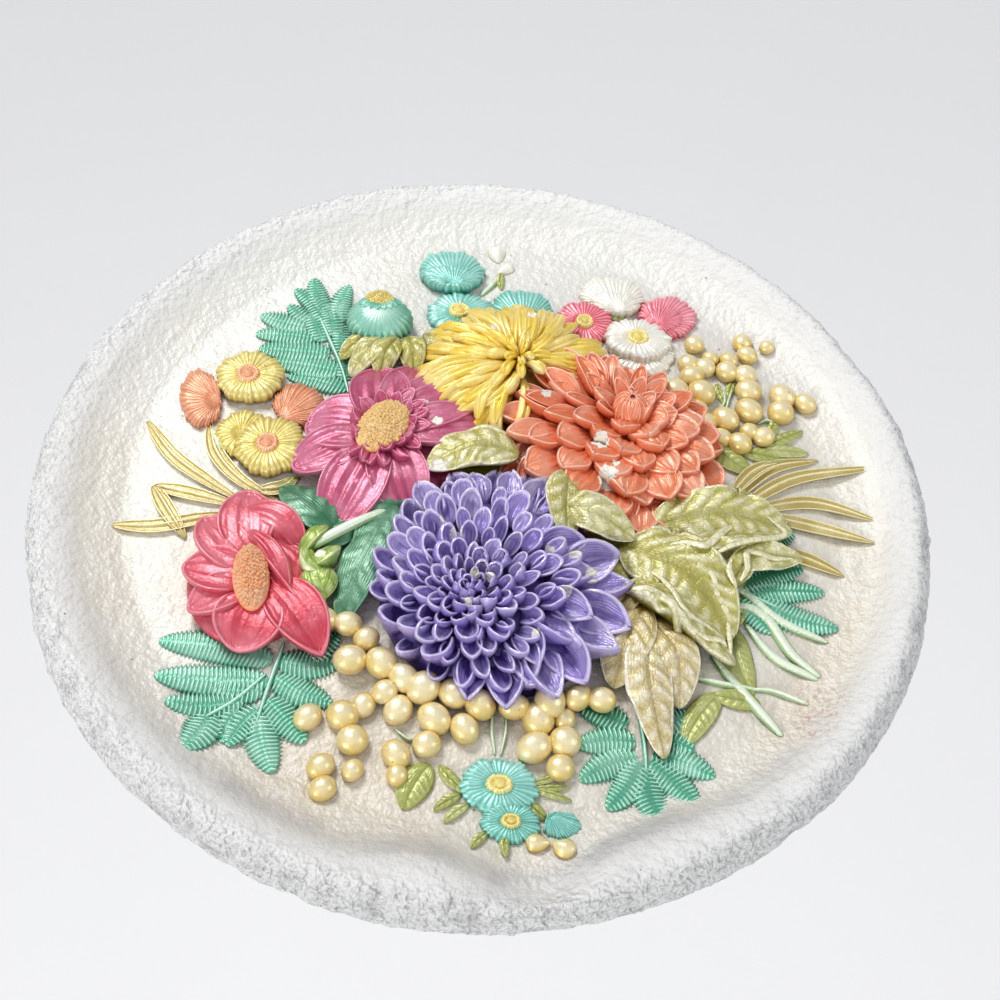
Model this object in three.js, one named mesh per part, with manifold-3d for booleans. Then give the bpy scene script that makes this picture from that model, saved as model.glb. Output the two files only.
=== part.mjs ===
// A round wall plaque cast in one piece: a shallow dish with a rolled, rough rim, and a high-relief
// bouquet on it. Millimetres. While it is being built the plaque lies face up: u (x) runs to the right,
// v (y) towards the top of the hung plaque and w (z) out of the wall, from the flat back. The finished
// mesh is stood up against its wall.
import * as THREE from "three";
import { mergeVertices } from "three/addons/utils/BufferGeometryUtils.js";
import Module from "manifold-3d";

const wasm = await Module();
wasm.setup();

// The dish.
const RADIUS = 178;
const RIM_HEIGHT = 24;
const RIM_STEPS = 38;
const FIELD = 13;
const FLAT_RADIUS = 141;
const SLOPE_RADIUS = 155;
const SLOPE_RISE = 4;
// The rim wanders by so much at most, from this share of the radius outwards, in waves [times round,
// share, phase].
const WOBBLE = 0.8;
const WOBBLE_START = 0.75;
const WOBBLE_WAVES = [
  [3, 0.6, 1],
  [7, 0.4, 0],
];
// How deep every relief piece is rooted below the surface that carries it.
const ROOT = 4;
// A bead's shoulder ring stands at this share of its height and is narrower than its foot by this share.
const BEAD_SHOULDER = 0.6;
const BEAD_TAPER = 0.06;
// A berry's foot and height are these shares of its widest radius; a berry under a flower is raised.
const BERRY_FOOT = 0.93;
const BERRY_HEIGHT = 1.4;
const BERRY_RAISE = 2.5;
// In a flower head, the lips of the notches stand at this share of the lips of the tips, and the
// underside is drawn in to this share of the outline.
const NOTCH_LIP = 0.55;
const HEAD_FOOT = 0.9;
const UP = new THREE.Vector3(0, 0, 1);

// Outline of the dish from the middle of the back, round the foot, wall, crest and inner slope, to the
// middle of the field: distance from the axis and height.
const DISH_PROFILE = [
  [0, 0],
  [RADIUS - 16, 0],
  [RADIUS - 6, 3.5],
  [RADIUS, 11],
  [RADIUS - 1.5, 17],
  [RADIUS - 6, 22.5],
  [RADIUS - 10, RIM_HEIGHT],
  [RADIUS - 15, RIM_HEIGHT - 2],
  [SLOPE_RADIUS, FIELD + SLOPE_RISE],
  [FLAT_RADIUS, FIELD],
  [0, FIELD],
];

// Height of the dish's surface at a point of the field: flat in the middle, then a gentle slope.
function fieldHeight(u, v) {
  const share = (Math.hypot(u, v) - FLAT_RADIUS) / (SLOPE_RADIUS - FLAT_RADIUS);
  return FIELD + SLOPE_RISE * Math.max(0, share);
}

// Moves each vertex of a three.js geometry by a function and closes it into a solid.
function solidFrom(geometry, move) {
  const bare = geometry.clone();
  bare.deleteAttribute("normal");
  bare.deleteAttribute("uv");
  const place = bare.getAttribute("position");
  const point = new THREE.Vector3();
  for (let i = 0; i < place.count; i += 1) {
    point.fromBufferAttribute(place, i);
    if (move) move(point);
    place.setXYZ(i, point.x, point.y, point.z);
  }
  const merged = mergeVertices(bare, 1e-3);
  return new wasm.Manifold(
    new wasm.Mesh({
      numProp: 3,
      vertProperties: new Float32Array(merged.getAttribute("position").array),
      triVerts: new Uint32Array(merged.index.array),
    }),
  );
}

// The dish: a turned profile whose rim wanders a little, as hand-pressed plaster does.
function dish() {
  const profile = DISH_PROFILE.map(([radius, height]) => new THREE.Vector2(radius, height));
  const turned = new THREE.LatheGeometry(profile, RIM_STEPS).rotateX(Math.PI / 2);
  return solidFrom(turned, (p) => {
    const radius = Math.hypot(p.x, p.y);
    const angle = Math.atan2(p.y, p.x);
    const rim = Math.max(0, radius / RADIUS - WOBBLE_START) / (1 - WOBBLE_START);
    const wave = ([times, share, phase]) => share * Math.sin(times * angle + phase);
    const drift = WOBBLE * rim * WOBBLE_WAVES.reduce((sum, row) => sum + wave(row), 0);
    const grown = radius > 0 ? 1 + drift / radius : 1;
    p.x *= grown;
    p.y *= grown;
  });
}

// A closed blade along a smooth curve: a petal or a leaf. Its section has four corners: two edges, the
// middle of the face and a keel. `cup` is how far the edges stand above the curve, `crest` how far the
// middle of the face does, `keel` how far the keel lies below it, `peak` where along it the blade is
// widest, and `blunt` how round its ends are.
function blade(points, { width, cup = 0, crest = 0, keel = ROOT, peak = 0.55, blunt = 0.7, steps = 4 }) {
  const curve = new THREE.CatmullRomCurve3(points.map((p) => new THREE.Vector3(...p)));
  const power = Math.log(0.5) / Math.log(peak);
  return solidFrom(new THREE.SphereGeometry(1, 4, steps), (p) => {
    const turn = Math.acos(THREE.MathUtils.clamp(p.y, -1, 1));
    const along = turn / Math.PI;
    const open = Math.sin(turn);
    const side = open > 1e-6 ? Math.round(p.x / open) : 0;
    const lift = open > 1e-6 ? Math.round(p.z / open) : 0;
    const swell = open > 1e-6 ? Math.sin(Math.PI * along ** power) ** blunt : 0;
    const across = UP.clone().cross(curve.getTangent(along)).normalize();
    const heights = { "-1": -keel, 0: cup, 1: crest };
    p.copy(curve.getPoint(along));
    p.addScaledVector(across, (side * width * swell) / 2);
    p.z += heights[lift] * swell;
  });
}

// The point at a share of the way between two points of the field, at a height.
function between([u0, v0], [u1, v1], share, height) {
  return [THREE.MathUtils.lerp(u0, u1, share), THREE.MathUtils.lerp(v0, v1, share), height];
}

// A rounded lump such as a berry, an eye or a bud: an ellipsoid with its pole outwards.
function lump([u, v, w], [across, along, high], { turn = 0, sides = 6, rings = 3 } = {}) {
  const ball = new THREE.SphereGeometry(1, sides, rings).rotateX(Math.PI / 2);
  ball.scale(across, along, high).rotateZ(turn).translate(u, v, w);
  return solidFrom(ball);
}

// A faceted bead whose foot is a ring on the field: its upper ring is half its height up.
function bead([u, v], ring, high) {
  const floor = fieldHeight(u, v);
  const heights = [high, high * BEAD_SHOULDER, 0, -ROOT];
  const ball = new THREE.SphereGeometry(1, ring.length, 3).rotateX(Math.PI / 2);
  return solidFrom(ball, (p) => {
    const level = Math.round((Math.acos(THREE.MathUtils.clamp(p.z, -1, 1)) / Math.PI) * 3);
    const step = Math.round((Math.atan2(p.y, p.x) / Math.PI / 2) * ring.length);
    const corner = ring[(step + ring.length) % ring.length];
    const reach = level === 0 || level === 3 ? 0 : 1 - BEAD_TAPER * (2 - level);
    p.set(u + corner.x * reach, v + corner.y * reach, floor + heights[level]);
  });
}

// The corners of a round or scalloped ring: `dents` draws every other corner in.
function ringOf(count, across, along, { turn = 0, dents = 0 } = {}) {
  return Array.from({ length: count }, (_, k) => {
    const angle = (2 * Math.PI * k) / count;
    const reach = k % 2 === 0 ? 1 : 1 - dents;
    const corner = new THREE.Vector2(across * Math.cos(angle), along * Math.sin(angle));
    return corner.multiplyScalar(reach).rotateAround(new THREE.Vector2(), turn);
  });
}

// A flower head of overlapping petals. The rows of petals start at `eye`, and the outermost ends on an
// ellipse about `centre` with semi-axes `radii`. They lie on a mound that rises from `rim` at that
// ellipse to `top`.
class Head {
  constructor({ eye, centre, radii, rim, top }) {
    Object.assign(this, { eye, centre, radii, rim, top });
  }

  // The place on the mound at the share `reach` of the way from the eye to the outline, in direction
  // `angle`.
  place(angle, reach, lift = 0) {
    const [a, b] = this.radii;
    const u = THREE.MathUtils.lerp(this.eye[0], this.centre[0] + a * Math.cos(angle), reach);
    const v = THREE.MathUtils.lerp(this.eye[1], this.centre[1] + b * Math.sin(angle), reach);
    const share = Math.min(Math.hypot((u - this.centre[0]) / a, (v - this.centre[1]) / b), 1);
    return [u, v, this.rim + (this.top - this.rim) * Math.sqrt(1 - share ** 2) + lift];
  }

  // All the petals as one skin over the mound: a row is a ring of lips, `count` tips with a notch
  // between each two, and a ring of feet under the lips. The tips of each row stand over the notches of
  // the row below.
  petals({ count, reaches, lift, notch = 0.5 }) {
    const rows = reaches.length;
    const rings = 2 * rows + 2;
    const ball = new THREE.SphereGeometry(1, 2 * count, rings).rotateX(Math.PI / 2);
    return solidFrom(ball, (p) => {
      const ring = Math.round((Math.acos(THREE.MathUtils.clamp(p.z, -1, 1)) / Math.PI) * rings);
      const step = Math.round((Math.atan2(p.y, p.x) / Math.PI) * count);
      const row = Math.min(Math.ceil(ring / 2), rows) - 1;
      if (ring === 0) {
        p.set(...this.place(0, 0, lift));
        return;
      }
      if (ring >= rings - 1) {
        const sunk = this.place((Math.PI * step) / count, ring === rings ? 0 : HEAD_FOOT);
        p.set(sunk[0], sunk[1], FIELD - ROOT);
        return;
      }
      const isTip = (step + row) % 2 === 0;
      const inner = row > 0 ? reaches[row - 1] : 0;
      const reach = isTip ? reaches[row] : THREE.MathUtils.lerp(reaches[row], inner, notch);
      const isLip = ring % 2 === 1;
      const height = isLip ? lift * (isTip ? 1 : NOTCH_LIP) : 0;
      p.set(...this.place((Math.PI * step) / count, reach, height));
    });
  }
}

// The purple dahlia: small rolled petals crowded round an eye that looks down to the left, large ones
// above.
function purpleDahlia() {
  const head = new Head({ eye: [-1, -59], centre: [9, -47], radii: [48, 49], rim: 17, top: 33 });
  const reaches = [0.12, 0.24, 0.37, 0.51, 0.66, 0.83, 1];
  return [head.petals({ count: 13, reaches, lift: 3 })];
}

// The orange dahlia: broad pointed petals in rows round a closed bud.
function orangeDahlia() {
  const head = new Head({ eye: [54, 35], centre: [47, 25], radii: [48, 46], rim: 17, top: 31 });
  const reaches = [0.26, 0.44, 0.62, 0.81, 1];
  const bud = head.place(0, 0, 2);
  return [head.petals({ count: 10, reaches, lift: 4 }), lump(bud, [7, 8, 5], { sides: 8 })];
}

// The yellow chrysanthemum: thin strap petals, of which the orange dahlia hides the near ones.
function chrysanthemum() {
  const head = new Head({ eye: [8, 58], centre: [7, 60], radii: [44, 39], rim: 16, top: 27 });
  const reaches = [0.35, 0.68, 1];
  return [head.petals({ count: 16, reaches, lift: 2.5, notch: 0.7 })];
}

// The mauve dahlia: nine broad petals, a crown of short ones and a coarse golden eye that leans to the
// left.
function mauveDahlia() {
  const eye = [-43, 17];
  const upper = [[-53, 53], [-35, 57], [-18, 52], [-5, 45], [-2, 27]];
  const lower = [[-27, -15], [-56, -27], [-77, -3], [-75, 21]];
  const petals = [...upper, ...lower].map((tip) => {
    const points = [between(eye, tip, 0.3, 23), between(eye, tip, 0.65, 24), [...tip, 19]];
    return blade(points, { width: 21, cup: -3, keel: 9, peak: 0.5, blunt: 0.5, steps: 3 });
  });
  const crown = new Head({ eye, centre: eye, radii: [20, 19], rim: 23, top: 26 });
  return [
    ...petals,
    crown.petals({ count: 9, reaches: [0.65, 1], lift: 1.5 }),
    lump([...eye, 26.5], [14, 9.5, 4], { turn: 1.15, sides: 8 }),
  ];
}

// The red anemone: six open petals, a seventh folded over on the right, and a long tilted orange eye.
function redAnemone() {
  const eye = [-80, -58];
  const tips = [[-91, -19], [-73, -31], [-105, -33], [-109, -54], [-102, -71], [-74, -86], [-54, -84]];
  const petals = tips.map((tip) => {
    const points = [between(eye, tip, 0.2, 21), between(eye, tip, 0.6, 22.5), [...tip, 19]];
    return blade(points, { width: 24, cup: -2.5, keel: 9, blunt: 0.6 });
  });
  const fold = [[-87, -36, 22], [-77, -45, 26], [-63, -64, 24]];
  return [
    ...petals,
    blade(fold, { width: 15, cup: -5, keel: 10, peak: 0.6 }),
    lump([...eye, 23], [6.5, 14, 4], { turn: 0.28, sides: 8 }),
  ];
}

// A small daisy: a shallow disc with a scalloped edge and a button eye.
function daisy([u, v], [across, along], { petals = 6, turn = 0, eye = 0.3, high = 3 } = {}) {
  const disc = bead([u, v], ringOf(2 * petals, across, along, { turn, dents: 0.05 }), high);
  const button = [across * eye, along * eye, 2];
  return eye > 0 ? [disc, lump([u, v, fieldHeight(u, v) + high], button)] : [disc];
}

function daisies() {
  return [
    ...daisy([-102, 44], [14, 14]),
    ...daisy([-100, 15], [11, 12], { eye: 0 }),
    ...daisy([-87, 8], [14.5, 15], { high: 4 }),
    ...daisy([-80, 33], [10, 11], { petals: 5, eye: 0 }),
    ...daisy([-120, 31], [8, 15.5], { turn: 0.25, eye: 0 }),
    ...daisy([-26, 119], [14.5, 13.5], { eye: 0, high: 4 }),
    ...daisy([-19, 93], [15, 13]),
    ...daisy([7, 102], [13, 10], { petals: 5, eye: 0 }),
    ...daisy([35, 96], [12.5, 13]),
    ...daisy([46, 115], [14.5, 11], { eye: 0 }),
    ...daisy([71, 105], [11, 13.5], { turn: 0.5, eye: 0 }),
    ...daisy([58, 87], [14, 13], { high: 4 }),
    ...daisy([15, -124], [14, 12]),
    ...daisy([20, -137], [10.5, 8]),
    ...daisy([39, -137], [6.5, 4], { turn: 0.3, petals: 4, eye: 0 }),
  ];
}

// The turquoise poppy head with its crown, and the olive leaf that curls up below it.
function poppyHead() {
  const lobes = [[[-48, 72], [-59, 55]], [[-44, 74], [-45, 57]], [[-38, 77], [-33, 63]]];
  return [
    lump([-53, 84, 15], [13.5, 14.5, 10], { sides: 10, rings: 5 }),
    lump([-54.5, 89, 23], [5.5, 4, 2]),
    ...lobes.map(([root, tip]) => blade([[...root, 17], [...tip, 17]], { width: 12, cup: -2, keel: 6 })),
  ];
}

// Gold berries in loose trusses, each berry [u, v, radius]: they stand on the field, or higher where
// they crowd under a flower.
const LOW_BERRIES = [
  [[-34, -101, 4.5], [-40.5, -106, 5.5], [-52.5, -108, 4.8], [-35.7, -115, 5.3]],
  [[-45, -126, 4.6], [-34, -126, 3.8], [-43, -134, 4.5], [-20, -118.5, 5], [-18.7, -126, 3.8]],
  [[-21.5, -101.5, 5.2], [-8.5, -103.5, 5.8], [2.5, -106, 5.2], [-10, -113.5, 4.8]],
  [[28, -99.5, 6], [27.5, -110.5, 5.8], [38, -107, 5.5], [37, -117, 4.8], [37.5, -98, 4]],
  [[75, 62, 5.4], [86, 62, 5.8], [82, 71, 5], [80.5, 78, 4.5], [87.5, 77, 4.5], [83, 90, 4.2]],
  [[97, 76, 4.8], [105, 75, 4.8], [106, 66, 5.4], [106, 55, 5.5], [104, 94, 4.2], [114.5, 92, 3.2]],
  [[106, 87, 4.2], [120.5, 65, 5.4], [130, 62, 4.5], [119.5, 56, 5.4], [96, 49, 5.5], [84.5, 52, 4.8]],
  [[87.5, 46, 4.8], [94, 39, 4.5], [102, 37, 4.8], [106, 44, 4], [112, 42, 4.5]],
];
const HIGH_BERRIES = [
  [[-44, -70, 4.8], [-36.5, -75.5, 4.6], [-41, -85, 5.6], [-29.5, -85, 5.8], [-21, -90, 5.4]],
  [[-13.5, -93, 6], [-2.5, -94, 5.4], [7, -97, 5.6], [19, -96.5, 5], [31.5, -93, 5.8]],
  [[41.5, -90, 4.8], [50, -90, 4.8], [-53, -69, 4.8], [-27, -96, 4.4]],
];

function berries() {
  const berry = ([u, v, r], raise) => {
    const foot = BERRY_FOOT * r;
    return bead([u, v], ringOf(6, foot, foot), BERRY_HEIGHT * r + raise);
  };
  const at = (trusses, raise) => trusses.flat().map((place) => berry(place, raise));
  return [...at(LOW_BERRIES, 0), ...at(HIGH_BERRIES, BERRY_RAISE)];
}

// A low ridge along points of the field: a leaflet, grass blade or stem, `crest` high, whose edges lie
// on the field.
function ridge(points, { crest = 2.2, peak = 0.5, steps = 3, ...form }) {
  const path = points.map(([u, v]) => [u, v, fieldHeight(u, v)]);
  return blade(path, { crest, peak, steps, ...form });
}

// Fern fronds: each leaflet [root, tip, width] is a low pinnate blade.
const LEAFLETS = [
  [[-77, 85], [-86, 106], 7],
  [[-71, 80], [-70, 105], 7],
  [[-74, 79], [-93, 98], 8],
  [[-84, 81], [-94, 89], 6],
  [[-84, 77], [-105, 81], 7],
  [[-79, 71], [-105, 70], 8],
  [[-72, 62], [-102, 62], 10],
  [[-66, 53], [-94, 56], 10],
  [[-62, 44], [-86, 49], 8],
  [[-82, -76], [-98, -76], 7],
  [[-72, -87], [-111, -84], 10],
  [[-72, -96], [-109, -98], 9],
  [[-76, -104], [-102, -108], 7],
  [[-84, -109], [-92, -125], 11],
  [[-65, -88], [-45, -86], 8],
  [[-65, -94], [-45, -101], 8],
  [[-66, -104], [-52, -119], 8],
  [[-72, -108], [-61, -129], 9],
  [[-54, -84], [-47, -72], 6],
  [[104, -32], [126, -22], 8],
  [[108, -35], [133, -32], 8],
  [[112, -39], [137, -47], 9],
  [[112, -14], [122, -5], 8],
  [[58, -97], [42, -91], 8],
  [[63, -103], [43, -107], 8],
  [[63, -110], [45, -119], 8],
  [[65, -111], [54, -129], 8],
  [[67, -112], [73, -134], 9],
  [[69, -109], [84, -126], 8],
  [[70, -106], [90, -114], 8],
  [[71, -99], [83, -103], 8],
  [[72, -96], [82, -90], 8],
];

// Khaki grass blades, left and right of the bouquet.
const GRASS = [
  [[-139, 16], [-125, 0], [-110, -10], [-92, -20]],
  [[-115, 18], [-108, 3], [-95, -9], [-78, -17]],
  [[-129, -15], [-113, -17], [-94, -24]],
  [[-128, -15], [-119, -28], [-111, -38]],
  [[-140, -36], [-123, -33], [-106, -27], [-96, -26]],
  [[97, 8], [114, 26], [135, 34]],
  [[101, 5], [124, 21], [158, 30]],
  [[104, 3], [131, 11], [156, 3]],
  [[108, 2], [130, -2], [154, -8]],
  [[114, -14], [128, -17], [142, -23]],
];

// Thin stems: right of the bouquet, over the small blue daisies and above the berries.
const STEMS = [
  [[90, -37], [104, -38], [116, -48], [133, -54]],
  [[96, -53], [104, -43], [112, -50], [128, -69]],
  [[103, -50], [114, -65], [128, -71]],
  [[90, -66], [100, -80], [115, -95]],
  [[78, -74], [95, -77], [109, -77], [124, -82]],
  [[12, -92], [12, -104], [14, -114]],
  [[-4, 122], [-8, 115], [-14, 106]],
  [[92, 55], [96, 62], [95, 70]],
];

// Small leaves beside the stems and berries: [root, tip, width].
const SMALL_LEAVES = [
  [[112, 38], [129, 49], 6],
  [[112, 36], [130, 37], 7],
  [[112, 40], [118, 56], 5],
  [[104, 34], [121, 32], 8],
  [[90, 36], [107, 24], 12],
  [[99, -52], [104, -79], 10],
  [[106, -82], [81, -102], 7],
  [[-8, -120], [-16, -137], 9],
  [[-5, -120], [6, -130], 5],
  [[26, -126], [40, -123], 6],
  [[26, -130], [34, -136], 5],
  [[26, -141], [33, -146], 6],
  [[32, -143], [43, -146], 6],
  [[-7, 128], [-7, 139], 8],
  [[-9, 112], [-4, 127], 5],
  [[49, 108], [50, 100], 7],
];

// Large leaves that lap over each other between the flowers: points with height, and width.
const LEAVES = [
  [[[-56, -30, 20], [-66, -21, 21], [-77, -14, 18]], 15],
  [[[-36, -20, 20], [-42, -45, 21], [-47, -68, 17]], 15],
  [[[-62, -32, 19], [-62, -48, 21], [-56, -61, 17]], 12],
  [[[-52, -36, 20], [-58, -45, 22], [-66, -48, 20]], 9],
  [[[10, 10, 25], [-8, 10, 26], [-23, 2, 23]], 20],
  [[[32, 2, 26], [32, -14, 27], [31, -34, 26]], 14],
  [[[34, -20, 27], [46, -22, 28], [58, -26, 25]], 14],
  [[[70, -16, 22], [95, -10, 24], [119, -11, 20]], 22],
  [[[86, -28, 21], [103, -22, 22], [123, -21, 19]], 12],
  [[[57, -28, 21], [79, -40, 24], [96, -58, 20]], 26],
  [[[57, -42, 22], [74, -52, 24], [96, -70, 20]], 16],
  [[[62, -54, 19], [58, -68, 20], [54, -82, 18]], 18],
  [[[66, -60, 20], [66, -82, 21], [73, -107, 18]], 17],
  [[[68, -58, 19], [76, -70, 20], [77, -87, 17]], 16],
];

function greenery() {
  return [
    ...[...LEAFLETS, ...SMALL_LEAVES].map(([root, tip, width]) => ridge([root, tip], { width })),
    ...GRASS.map((points) => ridge(points, { width: 6.5, peak: 0.45, steps: 4 })),
    ...STEMS.map((points) => ridge(points, { width: 4, blunt: 0.4, steps: 4 })),
    blade([[-36, -20, 20], [-48, -30, 21], [-62, -41, 19]], { width: 6, cup: -1.5, keel: 9, blunt: 0.3 }),
    ...LEAVES.map(([points, width]) => blade(points, { width, cup: -2, keel: 12, blunt: 0.6, steps: 3 })),
  ];
}

const bouquet = [
  ...purpleDahlia(),
  ...orangeDahlia(),
  ...chrysanthemum(),
  ...mauveDahlia(),
  ...redAnemone(),
  ...daisies(),
  ...poppyHead(),
  ...berries(),
  ...greenery(),
];
const cast = bouquet.reduce((whole, piece) => whole.add(piece), dish());

// The cast as a three.js mesh.
function meshOf(solid, name, material) {
  const { numProp, numVert, vertProperties, triVerts } = solid.getMesh();
  const places = new Float32Array(numVert * 3);
  for (let i = 0; i < numVert; i += 1) {
    places.set(vertProperties.subarray(i * numProp, i * numProp + 3), i * 3);
  }
  const geometry = new THREE.BufferGeometry();
  geometry.setAttribute("position", new THREE.BufferAttribute(places, 3));
  geometry.setIndex(new THREE.BufferAttribute(new Uint32Array(triVerts), 1));
  geometry.computeVertexNormals();
  const mesh = new THREE.Mesh(geometry, material);
  mesh.name = name;
  return mesh;
}

const plaster = new THREE.MeshStandardMaterial({ color: 0xe1dcd2, roughness: 0.45, metalness: 0 });
const group = new THREE.Group();
const mesh = meshOf(cast, "plaque", plaster);
mesh.rotation.x = Math.PI / 2;
group.add(mesh);

export default group;
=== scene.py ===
"""A painted plaster wall plaque: a shallow dish with a rolled, rough rim and a bouquet in high relief.

Every shape is worked out in plaque millimetres: u to the right, v towards the top of the hung plaque and
w out of the wall, from its flat back. Only the finished meshes are turned into the frame of the model, in
metres.
"""

import logging
import math
from collections.abc import Callable
from dataclasses import dataclass, field, fields
from enum import Enum

import bpy
import numpy as np
from mathutils import Matrix, Vector


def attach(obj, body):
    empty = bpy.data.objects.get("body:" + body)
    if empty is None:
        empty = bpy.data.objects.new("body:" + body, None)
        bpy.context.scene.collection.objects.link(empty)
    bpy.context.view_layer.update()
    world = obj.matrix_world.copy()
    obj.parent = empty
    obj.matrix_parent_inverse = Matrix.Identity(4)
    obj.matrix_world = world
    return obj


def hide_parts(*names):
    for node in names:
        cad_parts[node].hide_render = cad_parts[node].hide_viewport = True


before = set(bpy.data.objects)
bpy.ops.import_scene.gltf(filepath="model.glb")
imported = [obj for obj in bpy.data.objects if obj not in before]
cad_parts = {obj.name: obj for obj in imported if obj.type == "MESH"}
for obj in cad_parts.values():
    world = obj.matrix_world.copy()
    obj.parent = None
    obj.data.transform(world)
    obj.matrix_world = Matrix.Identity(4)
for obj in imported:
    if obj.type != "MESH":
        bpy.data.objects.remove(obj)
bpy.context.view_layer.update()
LOG = logging.getLogger("plaque")

MILLIMETRE = 0.001
NODE = "plaque"
# The dish: its radius, the height of its field, the slope at the field's border and the top of the relief.
RADIUS = 178.0
FIELD = 13.0
FLAT_RADIUS = 141.0
SLOPE_RADIUS = 155.0
SLOPE_RISE = 4.0
HIGHEST = 37.3
GOLDEN_ANGLE = math.pi * (3 - math.sqrt(5))
# Large odd factors that turn the corners of a lattice into numbers that look random.
CORNER_FACTORS = (73856093, 19349663, 83492791)
SEED_FACTOR = 7919
MIXING_FACTORS = (1274126177, 668265263)
# Factors that give neighbouring places numbers far from each other.
OWN_NUMBER = (0.7548, 0.5698)

Array = np.ndarray
Value = Array | float
Rows = tuple[tuple[float, ...], ...]
Colour = tuple[int, int, int]
Point = tuple[float, float, float]


def smooth(low: float, high: float, value: Array) -> Array:
    """A soft step: 0 up to low, 1 from high on, with a level start and end."""
    share = np.clip((value - low) / (high - low), 0, 1)
    return share * share * (3 - 2 * share)


def bell(value: Array, middle: float, width: float) -> Array:
    """A soft bump: 1 at the middle, a little over a third at one width from it and nothing far off."""
    return np.exp(-(((value - middle) / width) ** 2))


def unit(vectors: Array) -> Array:
    """The vectors brought to length one."""
    return vectors / np.maximum(np.linalg.norm(vectors, axis=-1, keepdims=True), 1e-9)


def turns(count: int) -> Array:
    """Angles at equal steps round a circle."""
    return 2 * np.pi * np.arange(count) / count


def together(*values: Array) -> Array:
    """Values of the same points side by side, along a new last axis."""
    return np.stack(np.broadcast_arrays(*values), axis=-1)


def heading(angle: Array) -> Array:
    """Directions in the plane of the wall, of length one."""
    return np.column_stack([np.cos(angle), np.sin(angle), 0 * angle])


def rotated(x: Array, y: Array, angle: Value) -> tuple[Array, Array]:
    """Places turned by an angle in the plane of the wall."""
    return x * np.cos(angle) - y * np.sin(angle), x * np.sin(angle) + y * np.cos(angle)


def leaning(level: Array, normal: Array, angle: Value) -> tuple[Array, Array]:
    """The sideways and the outwards direction of a form that leans over by an angle about its length."""
    return level * np.cos(angle) + normal * np.sin(angle), normal * np.cos(angle) - level * np.sin(angle)


def own_number(places: Array) -> Array:
    """A number from 0 to 1 for every form, which follows from its place and looks random."""
    return (places[:, 0] * OWN_NUMBER[0] + places[:, 1] * OWN_NUMBER[1]) % 1


def noise(places: Array, size: float, seed: int = 0, octaves: int = 1) -> Array:
    """Smooth random values from -1 to 1: every corner of a lattice has its own, and a place blends its eight.

    Args:
        places: points, with x, y and z along the last axis.
        size: edge of a lattice cell in the points' own unit.
        seed: picks another set of corner values.
        octaves: how many times a finer, weaker layer is added.

    Returns:
        One value for each point.
    """
    total, weight = 0.0, 0.0
    for octave in range(octaves):
        cell = places / size * 2.0**octave
        base = np.floor(cell).astype(np.int64)
        part = cell - base
        part = part * part * (3 - 2 * part)
        value = np.zeros(places.shape[:-1])
        for corner in range(8):
            bits = np.array([corner & 1, corner >> 1 & 1, corner >> 2 & 1])
            key = (base + bits) @ np.array(CORNER_FACTORS) + SEED_FACTOR * (seed + octave + 1)
            for shift, factor in zip((13, 15), MIXING_FACTORS):
                key = (key ^ (key >> shift)) * factor & 0x7FFFFFFF
            value += np.prod(np.where(bits == 1, part, 1 - part), axis=-1) * (key & 0xFFFF) / 32767.5
        total = total + (value - 1) * 0.5**octave
        weight += 0.5**octave
    return total / weight


def field_height(u: Array, v: Array) -> Array:
    """Height of the dish's surface at places of the field: flat in the middle, then a gentle slope."""
    share = (np.hypot(u, v) - FLAT_RADIUS) / (SLOPE_RADIUS - FLAT_RADIUS)
    return FIELD + SLOPE_RISE * np.clip(share, 0, 1)


def spline(points: Array, shares: Array) -> tuple[Array, Array]:
    """A smooth curve through points, of cubics whose end slopes are half the step between neighbours.

    Args:
        points: (points, 3), the places that it passes.
        shares: positions along it, from 0 to 1.

    Returns:
        The places and the directions at the shares.
    """
    padded = np.vstack([2 * points[0] - points[1], points, 2 * points[-1] - points[-2]])
    stretches = len(points) - 1
    which = np.minimum((shares * stretches).astype(int), stretches - 1)
    t = (shares * stretches - which)[:, None]
    before, start, end, after = (padded[which + k] for k in range(4))
    slope_in, slope_out = (end - before) / 2, (after - start) / 2
    bend, turn = 2 * (start - end) + slope_in + slope_out, 3 * (end - start) - 2 * slope_in - slope_out
    place = ((bend * t + turn) * t + slope_in) * t + start
    return place, (3 * bend * t + 2 * turn) * t + slope_in


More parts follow.
